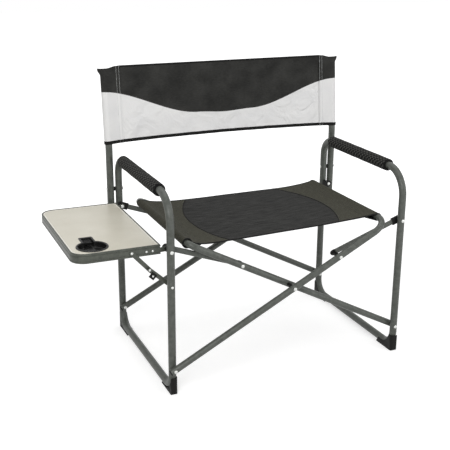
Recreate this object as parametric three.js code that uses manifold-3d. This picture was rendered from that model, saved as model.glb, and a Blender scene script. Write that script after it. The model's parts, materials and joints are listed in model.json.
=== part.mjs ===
// Folding camp chair with a side table: two closed tube side frames, two crossed leg frames, four
// links, a fabric seat and back, foam arm grips and a table that swings down beside the frame.
// Millimetres, +Z up. The chair faces -Y and the table is on its -X side.

import * as THREE from 'three';
import { mergeVertices } from 'three/addons/utils/BufferGeometryUtils.js';
import Module from 'manifold-3d';

const wasm = await Module();
wasm.setup();

// ---------------------------------------------------------------- driving dimensions

const gap = 0.3; // clearance between pieces that touch
const roundSides = 12; // facets round a tube, bolt, rivet or drilled hole

// Side frames
const postSpan = 832; // between the post axes of the left and right frame
const postDepth = 546; // front post axis to rear post axis
const frameTube = 25; // diameter of side frames and back poles
const armHeight = 656; // arm tube axis above the ground
const soleThickness = 3.2; // shoe under the bottom rail
const footBend = 55; // bend radii, to the tube axis
const armFrontBend = 90;
const armRearBend = 60;

// Corner shoes
const shoeWall = 2.7;
const shoeHeight = 60;
const shoeReach = 80; // from the post axis along the rail
const shoeToe = 6; // outer corner radius
const shoeLip = 4; // height of its thin end
const shoeRise = 52; // radius of the wall's top edge, round the bend's centre

// Foam arm grips
const gripWall = 8;
const gripFrontMargin = 5; // from the arm's front and rear bends
const gripRearMargin = 0.5;
const gripChamfer = 4;

// Back poles
const poleGap = 6; // between post and pole
const poleBoltOffsets = [-57, 58]; // from the height of the link pivots
const poleEnd = 30; // pole below its lower bolt
const poleLeanAboveArm = 34; // straight part of the pole above the arm's axis
const poleLean = THREE.MathUtils.degToRad(6);
const poleTop = 962;
const poleBend = 150;

// Leg frames
const legTube = 22;
const legPivotHeight = 92;
const crossingHeight = 309;
const railInset = 66; // post axis to seat rail axis
const railNearBend = 62; // at the leg outside the posts
const railFarBend = 36;
const legEnd = 13; // leg beyond its lower pivot

// Links
const linkBelowRail = 6.8; // pivot on the post below the seat rail's axis
const linkWidth = 18;
const linkThickness = 9;
const linkEnd = 11; // link beyond its leg pivot
const capWidth = 24;
const capThickness = 11;
const capReach = 26; // cap from the post pivot towards the leg
const capChamfer = 1.5;

// Bolts and rivets
const boltRadius = 3.5;
const headRadius = 6;
const headThickness = 2.2;
const spacerRadius = 7.5;
const rivetRadius = 2.5;
const rivetHeadRadius = 4.5;
const rivetSpacerRadius = 5;

// Seat and back fabric
const fabricWall = 1.8;
const sheetThickness = 2.5;
const seatMargin = 3; // from the bends of the seat rails
const seatSag = 18;
const backAboveBend = 16; // back above the start of the pole's lean
const backOverhang = 5.6; // back above the pole's end
const backSag = 6;

// Side table
const tableWidth = 274;
const tableInset = 21; // post axis to the table's inner edge
const tableRise = 15; // table top above its pivot
const tableCorner = 46; // outer corner radius
const rimDepth = 30;
const rimWall = 2;
const boardThickness = 7;
const boardDrop = 0.8; // board below the rim's edge
const ledgeThickness = 2;
const ledgeWidth = 12;
const strapThickness = 2.5;
const strapMargin = 1; // strap above the rim's lower edge
const strapReach = 86; // from the pivot along the rim
const strapEye = 9;

// Cup holder
const cupToOuterLedge = 18.2; // cup wall to the rim's ledge
const cupToFrontLedge = 6.2;
const cupRadius = 44;
const cupWall = 1.8;
const cupDepth = 20;
const cupFlange = 4.5;
const cupRecess = 1.5; // flange sunk into the board
const handleSlotWidth = 32;
const handleSlotReach = 84; // from the cup's axis

// Table braces
const braceReach = 114; // table pivot to the brace pivots at the rim and on the post
const braceWidth = 14;
const braceThickness = 3.5;
const braceOverCentre = 4;
const stopSize = 19;
const stopThickness = 6;
const stopAlong = 18.5; // block centre from the elbow, along and across the lower brace
const stopAcross = 9;

// ---------------------------------------------------------------- derived layout

const halfSpan = postSpan / 2;
const frameRadius = frameTube / 2;
const legRadius = legTube / 2;
const railHeight = soleThickness + gap + frameRadius;
const poleOffset = frameTube + poleGap;
const poleLeanStart = armHeight + poleLeanAboveArm;

// Leg frame: crossing and seat rail as distances from the lower pivot.
const crossingRise = crossingHeight - legPivotHeight;
const legAngle = Math.atan2(crossingRise, halfSpan);
const crossingReach = Math.hypot(halfSpan, crossingRise);
const railSpan = postSpan - 2 * railInset;
const railReach = (halfSpan + railSpan / 2) / Math.cos(legAngle);
const seatHeight = legPivotHeight + railReach * Math.sin(legAngle);
const seatDepth = postDepth - railNearBend - railFarBend - 2 * seatMargin;

// Heights on the posts that follow the seat rails.
const linkPivotHeight = seatHeight - linkBelowRail;
const poleBoltHeights = poleBoltOffsets.map((offset) => linkPivotHeight + offset);
const poleBottom = poleBoltHeights[0] - poleEnd;
const backBottom = poleLeanStart + backAboveBend;
const backHeight = (poleTop + backOverhang - backBottom) / Math.cos(poleLean);

// The links fold flat against the legs: pivot distance on the leg = post pivot spacing + link.
const postPivotSpacing = linkPivotHeight - legPivotHeight;
const linkReach = (postSpan * postSpan) /
  (2 * (postSpan * Math.cos(legAngle) - postPivotSpacing * (1 - Math.sin(legAngle))));
const linkLength = linkReach - postPivotSpacing;
const linkAngle = Math.atan2(
  linkReach * Math.sin(legAngle) - postPivotSpacing,
  linkReach * Math.cos(legAngle) - postSpan,
);

// Layers inwards from a post's axis: leg, near link, table strap, far link.
const postFace = frameRadius + gap;
const legOffset = postFace + legRadius;
const nearLinkOffset = postFace + capThickness / 2;
const nearCapEnd = postFace + capThickness;
const strapStart = legOffset + legRadius + gap;
const strapEnd = strapStart + strapThickness;
const farLinkOffset = strapEnd + gap + capThickness / 2;
const farCapEnd = strapEnd + gap + capThickness;
const rimFace = strapStart - gap - rimWall;

// Brace layers inwards from a post's axis.
const upperBraceStart = rimFace - gap - braceThickness;
const rimRivetHead = upperBraceStart - gap - headThickness;
const lowerBraceStart = rimRivetHead - gap - braceThickness;
const lowerBraceEnd = lowerBraceStart + braceThickness;

// Table heights from its pivot, and its extent.
const rimBottom = tableRise - rimDepth;
const boardTop = tableRise - boardDrop;
const boardBottom = boardTop - boardThickness;
const ledgeTop = boardBottom - gap;
const ledgeBottom = ledgeTop - ledgeThickness;
const tableLength = postDepth - 2 * rimFace;

// Brace triangle in the table pivot's frame.
const braceHalfSpan = braceReach / Math.SQRT2;
const braceLength = Math.hypot(braceHalfSpan, braceOverCentre);
const elbow = -(braceReach / 2) - braceOverCentre / Math.SQRT2;

// ---------------------------------------------------------------- materials

function material(color, roughness, metalness) {
  return new THREE.MeshStandardMaterial({ color, roughness, metalness });
}

const coatedSteel = material(0x5a5d57, 0.45, 0.5);
const zincSteel = material(0xb9bab6, 0.35, 0.9);
const blackPlastic = material(0x1e1e1d, 0.55, 0);
const foam = material(0x2b2b2b, 0.95, 0);
const seatCloth = material(0x3c3b36, 0.95, 0);
const backCloth = material(0x8a8a88, 0.95, 0);
const laminate = material(0xd3cfc1, 0.4, 0);

// ---------------------------------------------------------------- solids

// A closed mesh with shared vertices and no zero-area triangles.
function closed(geometry) {
  const bare = geometry.index ? geometry.toNonIndexed() : geometry.clone();
  bare.deleteAttribute('normal');
  bare.deleteAttribute('uv');
  const merged = mergeVertices(bare, 1e-3);
  const faces = [];
  const index = merged.index.array;
  for (let i = 0; i < index.length; i += 3) {
    const [a, b, c] = index.slice(i, i + 3);
    if (a !== b && b !== c && c !== a) faces.push(a, b, c);
  }
  merged.setIndex(faces);
  return merged;
}

function toManifold(geometry) {
  const solid = closed(geometry);
  return new wasm.Manifold(new wasm.Mesh({
    numProp: 3,
    vertProperties: new Float32Array(solid.attributes.position.array),
    triVerts: new Uint32Array(solid.index.array),
  }));
}

function fromManifold(manifold) {
  const { vertProperties, triVerts } = manifold.getMesh();
  const geometry = new THREE.BufferGeometry();
  geometry.setAttribute('position', new THREE.BufferAttribute(vertProperties, 3));
  geometry.setIndex(new THREE.BufferAttribute(triVerts, 1));
  geometry.computeVertexNormals();
  return geometry;
}

function cut(geometry, ...tools) {
  const rest = tools.reduce((solid, tool) => solid.subtract(toManifold(tool)), toManifold(geometry));
  return fromManifold(rest);
}

function join(...geometries) {
  const whole = geometries.map(toManifold).reduce((sum, solid) => sum.add(solid));
  return fromManifold(whole);
}

function box(x0, x1, y0, y1, z0, z1) {
  const geometry = new THREE.BoxGeometry(x1 - x0, y1 - y0, z1 - z0);
  return geometry.translate((x0 + x1) / 2, (y0 + y1) / 2, (z0 + z1) / 2);
}

// A round rod along Y, for drilling.
function rod(radius, x, z, y0, y1) {
  const geometry = new THREE.CylinderGeometry(radius, radius, y1 - y0, roundSides);
  return geometry.translate(x, (y0 + y1) / 2, z);
}

// A bolt, rivet or spacer along Y, turned from steps of [radius, start, end].
function turned(steps) {
  const profile = [new THREE.Vector2(0, steps[0][1])];
  for (const [radius, start, end] of steps) {
    profile.push(new THREE.Vector2(radius, start), new THREE.Vector2(radius, end));
  }
  profile.push(new THREE.Vector2(0, steps.at(-1)[2]));
  return closed(new THREE.LatheGeometry(profile, roundSides));
}

// A ring along Y between two radii, with chamfered outer edges.
function sleeve(inner, outer, y0, y1, chamfer = 0) {
  const profile = [
    new THREE.Vector2(inner, y0),
    new THREE.Vector2(outer - chamfer, y0),
    new THREE.Vector2(outer, y0 + chamfer),
    new THREE.Vector2(outer, y1 - chamfer),
    new THREE.Vector2(outer - chamfer, y1),
    new THREE.Vector2(inner, y1),
    new THREE.Vector2(inner, y0),
  ];
  return closed(new THREE.LatheGeometry(profile, roundSides));
}

// An outline in X and Z with a thickness along Y, and chamfered edges if bevel is set.
function plateXZ(outline, y0, y1, bevel = 0) {
  const geometry = new THREE.ExtrudeGeometry(outline, {
    depth: y1 - y0 - 2 * bevel,
    bevelEnabled: bevel > 0,
    bevelThickness: bevel,
    bevelSize: bevel,
    bevelOffset: -bevel,
    bevelSegments: 1,
    curveSegments: roundSides / 2,
  });
  return closed(geometry.rotateX(Math.PI / 2).translate(0, y1 - bevel, 0));
}

// An outline in Y and Z with a thickness along X.
function plateYZ(outline, x0, x1) {
  const geometry = new THREE.ExtrudeGeometry(outline, {
    depth: x1 - x0,
    bevelEnabled: false,
    curveSegments: 2,
  });
  const axes = new THREE.Matrix4().makeBasis(
    new THREE.Vector3(0, 1, 0),
    new THREE.Vector3(0, 0, 1),
    new THREE.Vector3(1, 0, 0),
  );
  return closed(geometry.applyMatrix4(axes).translate(x0, 0, 0));
}

// An outline in X and Y with a height along Z. Each arc gets twice the given segments.
function plateXY(outline, z0, z1, curveSegments) {
  const geometry = new THREE.ExtrudeGeometry(outline, {
    depth: z1 - z0,
    bevelEnabled: false,
    curveSegments,
  });
  return closed(geometry.translate(0, 0, z0));
}

// A path whose points are the given stations, one for each ring of a tube.
class StationPath extends THREE.Curve {
  constructor(stations) {
    super();
    this.stations = stations;
  }

  station(t) {
    return this.stations[Math.round(t * (this.stations.length - 1))];
  }

  getPoint(t) {
    return this.station(t).point.clone();
  }

  getTangent(t) {
    return this.station(t).tangent.clone();
  }

  getUtoTmapping(u) {
    return u;
  }
}

// Straight runs between corners of { at, radius }, with a ring every 18 degrees of each bend.
function bentPath(corners) {
  const towards = (from, to) => to.at.clone().sub(from.at).normalize();
  const stations = [{ point: corners[0].at, tangent: towards(corners[0], corners[1]) }];
  for (let i = 1; i < corners.length - 1; i += 1) {
    const { at, radius } = corners[i];
    const before = towards(corners[i - 1], corners[i]);
    const after = towards(corners[i], corners[i + 1]);
    const turn = before.angleTo(after);
    const axis = before.clone().cross(after).normalize();
    const start = at.clone().addScaledVector(before, -radius * Math.tan(turn / 2));
    const toCentre = axis.clone().cross(before).multiplyScalar(radius);
    const centre = start.clone().add(toCentre);
    const steps = Math.ceil(turn / (Math.PI / 10) - 0.01);
    for (let k = 0; k <= steps; k += 1) {
      const angle = (turn * k) / steps;
      const arm = toCentre.clone().negate().applyAxisAngle(axis, angle);
      stations.push({
        point: centre.clone().add(arm),
        tangent: before.clone().applyAxisAngle(axis, angle),
      });
    }
  }
  stations.push({ point: corners.at(-1).at, tangent: towards(corners.at(-2), corners.at(-1)) });
  return new StationPath(stations);
}

function tube(radius, corners) {
  const extrudePath = bentPath(corners);
  const section = new THREE.Shape().absarc(0, 0, radius, 0, 2 * Math.PI);
  const steps = extrudePath.stations.length - 1;
  const curveSegments = roundSides / 2;
  return closed(new THREE.ExtrudeGeometry(section, { extrudePath, steps, curveSegments }));
}

function corner(x, y, z, radius = 0) {
  return { at: new THREE.Vector3(x, y, z), radius };
}

// A bar outline along X with round ends where asked.
function barOutline(x0, x1, width, { roundStart = false, roundEnd = false } = {}) {
  const half = width / 2;
  const outline = new THREE.Shape();
  outline.moveTo(roundStart ? x0 + half : x0, -half);
  outline.lineTo(roundEnd ? x1 - half : x1, -half);
  if (roundEnd) outline.absarc(x1 - half, 0, half, -Math.PI / 2, Math.PI / 2);
  outline.lineTo(roundEnd ? x1 - half : x1, half);
  outline.lineTo(roundStart ? x0 + half : x0, half);
  if (roundStart) outline.absarc(x0 + half, 0, half, Math.PI / 2, (3 * Math.PI) / 2);
  return outline;
}

// ---------------------------------------------------------------- scene helpers

function mesh(name, geometry, look, x = 0, y = 0, z = 0) {
  const piece = new THREE.Mesh(geometry, look.clone());
  piece.name = name;
  piece.position.set(x, y, z);
  return piece;
}

// Turns a piece about Y so that its own X axis rises at the given angle.
function raised(piece, angle) {
  piece.rotation.y = -angle;
  return piece;
}

function group(...children) {
  return new THREE.Group().add(...children);
}

// ---------------------------------------------------------------- side frames

// One tube bent into a loop, its ends meeting in a butt joint in the middle of the bottom rail.
function sideFrameLoop() {
  const middle = postDepth / 2;
  const loop = tube(frameRadius, [
    corner(0, middle + gap / 2, railHeight),
    corner(0, postDepth, railHeight, footBend),
    corner(0, postDepth, armHeight, armRearBend),
    corner(0, 0, armHeight, armFrontBend),
    corner(0, 0, railHeight, footBend),
    corner(0, middle - gap / 2, railHeight),
  ]);
  const drillAcross = (height) => rod(boltRadius + gap, 0, height, -frameTube, postDepth + frameTube);
  const poleDrills = poleBoltHeights.map((height) => (
    rod(boltRadius + gap, 0, 0, -frameTube, frameTube)
      .rotateZ(Math.PI / 2)
      .translate(0, postDepth, height)
  ));
  return cut(loop, drillAcross(legPivotHeight), drillAcross(linkPivotHeight), ...poleDrills);
}

// The post holes for the brace rivets, on the table's side only.
function withBraceHoles(loop) {
  const height = linkPivotHeight - braceReach;
  return cut(loop, rod(rivetRadius + gap, 0, height, -frameTube, postDepth + frameTube));
}

// The space beside the tube on a shoe's open side, up to its front wall and sole.
function shoeOpening(wall) {
  const inner = frameRadius + gap;
  const far = shoeReach + footBend;
  const centre = railHeight + footBend;
  const outline = new THREE.Shape();
  outline.moveTo(-inner, far);
  outline.lineTo(-inner, centre);
  outline.absarc(footBend, centre, footBend + inner, Math.PI, (3 * Math.PI) / 2);
  outline.lineTo(far, railHeight - inner);
  outline.lineTo(far, far);
  return wall < 0 ? plateYZ(outline, 0, far) : plateYZ(outline, -far, 0);
}

// A boot round the outside of a bottom bend. The side that wall points to, -1 or 1 in X, is
// walled up to a curved edge, and the other is open.
function shoe(wall) {
  const front = frameRadius + gap + shoeWall;
  const outline = new THREE.Shape();
  outline.moveTo(-front, shoeHeight);
  outline.lineTo(-front, shoeToe);
  outline.absarc(-front + shoeToe, shoeToe, shoeToe, Math.PI, (3 * Math.PI) / 2);
  outline.lineTo(shoeReach, 0);
  outline.lineTo(shoeReach, shoeLip);
  const centre = railHeight + footBend;
  const wallEnd = Math.asin((centre - shoeHeight) / shoeRise) - Math.PI;
  outline.absarc(footBend, centre, shoeRise, (-5 * Math.PI) / 12, wallEnd, true);
  const far = shoeReach + footBend;
  const channel = tube(frameRadius + gap, [
    corner(0, 0, far),
    corner(0, 0, railHeight, footBend),
    corner(0, far, railHeight),
  ]);
  const shell = wall < 0
    ? plateYZ(outline, -front, frameRadius)
    : plateYZ(outline, -frameRadius, front);
  return cut(shell, channel, shoeOpening(wall));
}

function backPole() {
  const lean = (poleTop - poleLeanStart) * Math.tan(poleLean);
  const pole = tube(frameRadius, [
    corner(0, 0, poleBottom),
    corner(0, 0, poleLeanStart, poleBend),
    corner(0, lean, poleTop),
  ]);
  const drills = poleBoltHeights.map((height) => (
    rod(boltRadius + gap, 0, 0, -frameTube, frameTube).rotateZ(Math.PI / 2).translate(0, 0, height)
  ));
  return cut(pole, ...drills);
}

// From the post's inner face outwards, through the post, a spacer and the pole.
function poleBolt() {
  const poleFace = poleOffset + postFace;
  const bolt = turned([
    [headRadius, -postFace - headThickness, -postFace],
    [boltRadius, -postFace, postFace],
    [spacerRadius, postFace, poleOffset - postFace],
    [boltRadius, poleOffset - postFace, poleFace],
    [headRadius, poleFace, poleFace + headThickness],
  ]);
  return bolt.rotateZ(-Math.PI / 2);
}

function sidePieces(name, side) {
  const loop = side < 0 ? withBraceHoles(sideFrameLoop()) : sideFrameLoop();
  const rearShoe = mesh(`${name}_rear_shoe`, shoe(side), blackPlastic, 0, postDepth);
  rearShoe.rotation.z = Math.PI;
  const pieces = group(
    mesh(`${name}_side_frame`, loop, coatedSteel),
    mesh(`${name}_front_shoe`, shoe(-side), blackPlastic),
    rearShoe,
    mesh(
      `${name}_arm_grip`,
      sleeve(
        frameRadius + gap,
        frameRadius + gap + gripWall,
        armFrontBend + gripFrontMargin,
        postDepth - armRearBend - gripRearMargin,
        gripChamfer,
      ),
      foam, 0, 0, armHeight,
    ),
    mesh(`${name}_back_pole`, backPole(), coatedSteel, side * poleOffset, postDepth),
  );
  for (const [index, height] of poleBoltHeights.entries()) {
    const bolt = mesh(`${name}_pole_bolt_${index + 1}`, poleBolt(), zincSteel, 0, postDepth, height);
    bolt.rotation.z = side < 0 ? Math.PI : 0;
    pieces.add(bolt);
  }
  pieces.position.x = side * halfSpan;
  return pieces;
}

// ---------------------------------------------------------------- leg frames and links

// Front leg, seat rail and rear leg in one tube. X runs up the leg from the lower pivot.
function legFrame() {
  const frame = tube(legRadius, [
    corner(-legEnd, 0, 0),
    corner(railReach, 0, 0, railNearBend),
    corner(railReach, postDepth, 0, railFarBend),
    corner(-legEnd, postDepth, 0),
  ]);
  const drills = [0, crossingReach, linkReach].map((reach) => (
    rod(boltRadius + gap, reach, 0, -legTube, postDepth + legTube)
  ));
  return cut(frame, ...drills);
}

// X runs from the post pivot to the leg pivot.
function linkTube() {
  const outline = barOutline(capReach + gap, linkLength + linkEnd, linkWidth, { roundEnd: true });
  const half = linkThickness / 2;
  const body = plateXZ(outline, -half, half, linkThickness / 3);
  return cut(body, rod(boltRadius + gap, linkLength, 0, -linkThickness, linkThickness));
}

function linkCap() {
  const outline = barOutline(-capWidth / 2, capReach, capWidth, { roundStart: true });
  const half = capThickness / 2;
  const body = plateXZ(outline, -half, half, capChamfer);
  return cut(body, rod(boltRadius + gap, 0, 0, -capThickness, capThickness));
}

// Leg to post: head on the leg's outer face, through the leg and the post.
function lowerPivotBolt() {
  const legFace = legOffset + legRadius + gap;
  return turned([
    [headRadius, -legFace - headThickness, -legFace],
    [boltRadius, -legFace, postFace],
    [headRadius, postFace, postFace + headThickness],
  ]);
}

// Link to post. Starts outside the post and runs inwards through the layers that it carries.
function linkPostBolt(layers) {
  const head = [headRadius, -postFace - headThickness, -postFace];
  const end = layers.at(-1)[2];
  return turned([head, [boltRadius, -postFace, postFace], ...layers,
    [headRadius, end, end + headThickness]]);
}

const nearBoltLayers = {
  plain: [[boltRadius, postFace, nearCapEnd + gap]],
  strap: [
    [boltRadius, postFace, nearCapEnd + gap],
    [spacerRadius, nearCapEnd + gap, strapStart - gap],
    [boltRadius, strapStart - gap, strapEnd + gap],
  ],
};

const farBoltLayers = {
  plain: [
    [spacerRadius, postFace, strapEnd],
    [boltRadius, strapEnd, farCapEnd + gap],
  ],
  strap: [
    [spacerRadius, postFace, strapStart - gap],
    [boltRadius, strapStart - gap, farCapEnd + gap],
  ],
};

// Link to leg: head on the leg's far face, through the leg, then a spacer up to the link.
function linkLegBolt(spacerLength) {
  return turned([
    [headRadius, -legRadius - gap - headThickness, -legRadius - gap],
    [boltRadius, -legRadius - gap, legRadius + gap],
    [spacerRadius, legRadius + gap, legRadius + gap + spacerLength],
  ]);
}

// A leg frame with its lower pivot bolts, and the two links that tie it to the opposite posts.
// The near link lies next to its post and the far link behind the leg. The near end of the leg
// frame is at Y = 0.
function scissorHalf(leg, [nearEnd, farEnd], nearLink, farLink, layerSet) {
  const link = (name, y) => [
    raised(mesh(name, linkTube(), coatedSteel, halfSpan, y, linkPivotHeight), linkAngle),
    raised(mesh(`${name}_cap`, linkCap(), blackPlastic, halfSpan, y, linkPivotHeight), linkAngle),
  ];
  const postBolt = (name, y, layers, turn) => {
    const bolt = mesh(name, linkPostBolt(layers), zincSteel, halfSpan, y, linkPivotHeight);
    bolt.rotation.z = turn;
    return bolt;
  };
  const legBolt = (name, y, spacerLength, turn) => {
    const x = linkReach * Math.cos(legAngle) - halfSpan;
    const z = linkReach * Math.sin(legAngle) + legPivotHeight;
    const bolt = mesh(name, linkLegBolt(spacerLength), zincSteel, x, y, z);
    bolt.rotation.z = turn;
    return bolt;
  };
  const nearSpacer = legOffset - legRadius + nearLinkOffset - linkThickness / 2 - 2 * gap;
  const farSpacer = farLinkOffset - linkThickness / 2 - legOffset - legRadius - 2 * gap;
  const pivotBolt = (end, y) => (
    mesh(`${leg}_${end}_pivot_bolt`, lowerPivotBolt(), zincSteel, -halfSpan, y, legPivotHeight)
  );
  return group(
    raised(mesh(leg, legFrame(), coatedSteel, -halfSpan, -legOffset, legPivotHeight), legAngle),
    pivotBolt(nearEnd, 0),
    pivotBolt(farEnd, postDepth),
    ...link(nearLink, nearLinkOffset),
    ...link(farLink, postDepth - farLinkOffset),
    postBolt(`${nearLink}_post_bolt`, 0, nearBoltLayers[layerSet], 0),
    postBolt(`${farLink}_post_bolt`, postDepth, farBoltLayers[layerSet], Math.PI),
    legBolt(`${nearLink}_leg_bolt`, -legOffset, nearSpacer, 0),
    legBolt(`${farLink}_leg_bolt`, postDepth - legOffset, farSpacer, Math.PI),
  );
}

// The crossing bolts and the spacers that keep the legs a post's width apart.
function crossing(name, y) {
  const legFace = legOffset + legRadius + gap;
  const spacerEnd = legOffset - legRadius - gap;
  const bolt = turned([
    [headRadius, -legFace - headThickness, -legFace],
    [boltRadius, -legFace, legFace],
    [headRadius, legFace, legFace + headThickness],
  ]);
  return [
    mesh(`${name}_crossing_bolt`, bolt, zincSteel, 0, y, crossingHeight),
    mesh(
      `${name}_crossing_spacer`,
      sleeve(boltRadius + gap, spacerRadius, -spacerEnd, spacerEnd),
      blackPlastic, 0, y, crossingHeight,
    ),
  ];
}

// ---------------------------------------------------------------- seat and back fabric

// A sheet between two rods along Y, with a sleeve round each rod and its middle hanging lower.
function hammock(span, rodRadius, sag, length) {
  const inner = rodRadius + gap;
  const outer = inner + fabricWall;
  const lowerStart = Math.asin((outer - sheetThickness) / outer);
  const reach = span / 2;
  const edge = reach - outer * Math.cos(lowerStart);
  const outline = new THREE.Shape();
  outline.moveTo(-reach, outer);
  outline.absarc(-reach, 0, outer, Math.PI / 2, 2 * Math.PI + lowerStart);
  const underside = outer - sheetThickness;
  outline.quadraticCurveTo(0, underside - 2 * sag, edge, underside);
  outline.absarc(reach, 0, outer, Math.PI - lowerStart, Math.PI / 2 + 2 * Math.PI);
  outline.quadraticCurveTo(0, outer - 2 * sag, -reach, outer);
  for (const side of [-1, 1]) {
    outline.holes.push(new THREE.Path().absarc(side * reach, 0, inner, 0, 2 * Math.PI, true));
  }
  return plateXZ(outline, 0, length);
}

// The straight runs of the two seat rails start apart, so the seat's left and right edges do too.
function seat() {
  const geometry = hammock(railSpan, legRadius, seatSag, seatDepth);
  const skew = (railNearBend - railFarBend - 2 * legOffset) / railSpan;
  const shear = new THREE.Matrix4().set(1, 0, 0, 0, skew, 1, 0, 0, 0, 0, 1, 0, 0, 0, 0, 1);
  geometry.applyMatrix4(shear);
  return mesh('seat_fabric', geometry, seatCloth, 0, (postDepth - seatDepth) / 2, seatHeight);
}

function back() {
  const span = postSpan + 2 * poleOffset;
  const y = postDepth + (backBottom - poleLeanStart) * Math.tan(poleLean);
  const cloth = mesh('back_fabric', hammock(span, frameRadius, backSag, backHeight), backCloth,
    0, y, backBottom);
  cloth.rotation.x = Math.PI / 2 - poleLean;
  return cloth;
}

// ---------------------------------------------------------------- side table

// The table in its own frame: X = 0 at the pivot axis and falling towards the outer edge,
// Y = 0 at the front post's axis, Z = 0 at the pivot's height.
const tableOuterEdge = -tableInset - tableWidth;

function tableOutline(inset) {
  const x0 = tableOuterEdge + inset;
  const x1 = -tableInset - inset;
  const y0 = rimFace + inset;
  const y1 = rimFace + tableLength - inset;
  const radius = tableCorner - inset;
  const outline = new THREE.Shape();
  outline.moveTo(x1, y0);
  outline.lineTo(x1, y1);
  outline.absarc(x0 + radius, y1 - radius, radius, Math.PI / 2, Math.PI);
  outline.absarc(x0 + radius, y0 + radius, radius, Math.PI, (3 * Math.PI) / 2);
  return outline;
}

// The cup's outline: a circle with a square slot towards the rear for a mug's handle.
function cupOutline(offset) {
  const fromLedge = cupWall + cupRadius;
  const x = tableOuterEdge + ledgeWidth + cupToOuterLedge + fromLedge;
  const y = rimFace + ledgeWidth + cupToFrontLedge + fromLedge;
  const radius = cupRadius + offset;
  const half = handleSlotWidth / 2 + offset;
  const start = Math.acos(half / radius);
  const outline = new THREE.Shape();
  outline.moveTo(x + half, y + handleSlotReach + offset);
  outline.lineTo(x - half, y + handleSlotReach + offset);
  outline.absarc(x, y, radius, Math.PI - start, 2 * Math.PI + start);
  outline.closePath();
  return outline;
}

function tablePlate(inset, z0, z1) {
  return plateXY(tableOutline(inset), z0, z1, 3);
}

function cupPlate(offset, z0, z1) {
  return plateXY(cupOutline(offset), z0, z1, 9);
}

function tableRim() {
  const over = 1;
  const notch = (y0, y1) => (
    box(-tableInset - ledgeWidth, -tableInset + over, y0, y1, rimBottom - over, ledgeBottom)
  );
  const last = postDepth;
  return cut(
    tablePlate(0, rimBottom, tableRise),
    tablePlate(rimWall, ledgeTop, tableRise + over),
    tablePlate(rimWall, rimBottom - over, ledgeBottom),
    tablePlate(ledgeWidth, rimBottom - over, tableRise + over),
    notch(strapStart - gap, strapEnd + gap),
    notch(last - strapEnd - gap, last - strapStart + gap),
    rod(rivetRadius + gap, -braceReach, 0, 0, postDepth),
    rod(rivetHeadRadius + gap, -braceReach, 0, rimFace + rimWall, last - rimFace - rimWall),
  );
}

function tableBoard() {
  return cut(
    tablePlate(rimWall + gap, boardBottom, boardTop),
    cupPlate(cupWall + gap, boardBottom - 1, boardTop + 1),
    cupPlate(cupWall + cupFlange + gap, boardTop - cupRecess, boardTop + 1),
  );
}

function cupHolder() {
  const flangeTop = boardTop + gap + cupWall;
  const floor = flangeTop - cupDepth;
  const body = join(
    cupPlate(cupWall, floor - cupWall, flangeTop),
    cupPlate(cupWall + cupFlange, boardTop - cupRecess + gap, flangeTop),
  );
  return cut(body, cupPlate(0, floor, flangeTop + 1));
}

function strap(y0, y1) {
  const bottom = rimBottom + strapMargin;
  const top = ledgeBottom - gap;
  const outline = new THREE.Shape();
  outline.moveTo(-strapReach, bottom);
  outline.lineTo(0, -strapEye);
  outline.absarc(0, 0, strapEye, -Math.PI / 2, Math.PI / 2);
  outline.lineTo(-tableInset, top);
  outline.lineTo(-strapReach, top);
  outline.holes.push(new THREE.Path().absarc(0, 0, boltRadius + gap, 0, 2 * Math.PI, true));
  return plateXZ(outline, y0, y1);
}

function braceBar(holes, y0, y1) {
  const half = braceWidth / 2;
  const outline = barOutline(-half, braceLength + half, braceWidth, {
    roundStart: true,
    roundEnd: true,
  });
  for (const x of holes) {
    outline.holes.push(new THREE.Path().absarc(x, 0, rivetRadius + gap, 0, 2 * Math.PI, true));
  }
  return plateXZ(outline, y0, y1);
}

function stopBlock(y0, y1) {
  const x = braceLength - stopAlong;
  const half = stopSize / 2;
  return box(x - half, x + half, y0, y1, stopAcross - half, stopAcross + half);
}

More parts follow.
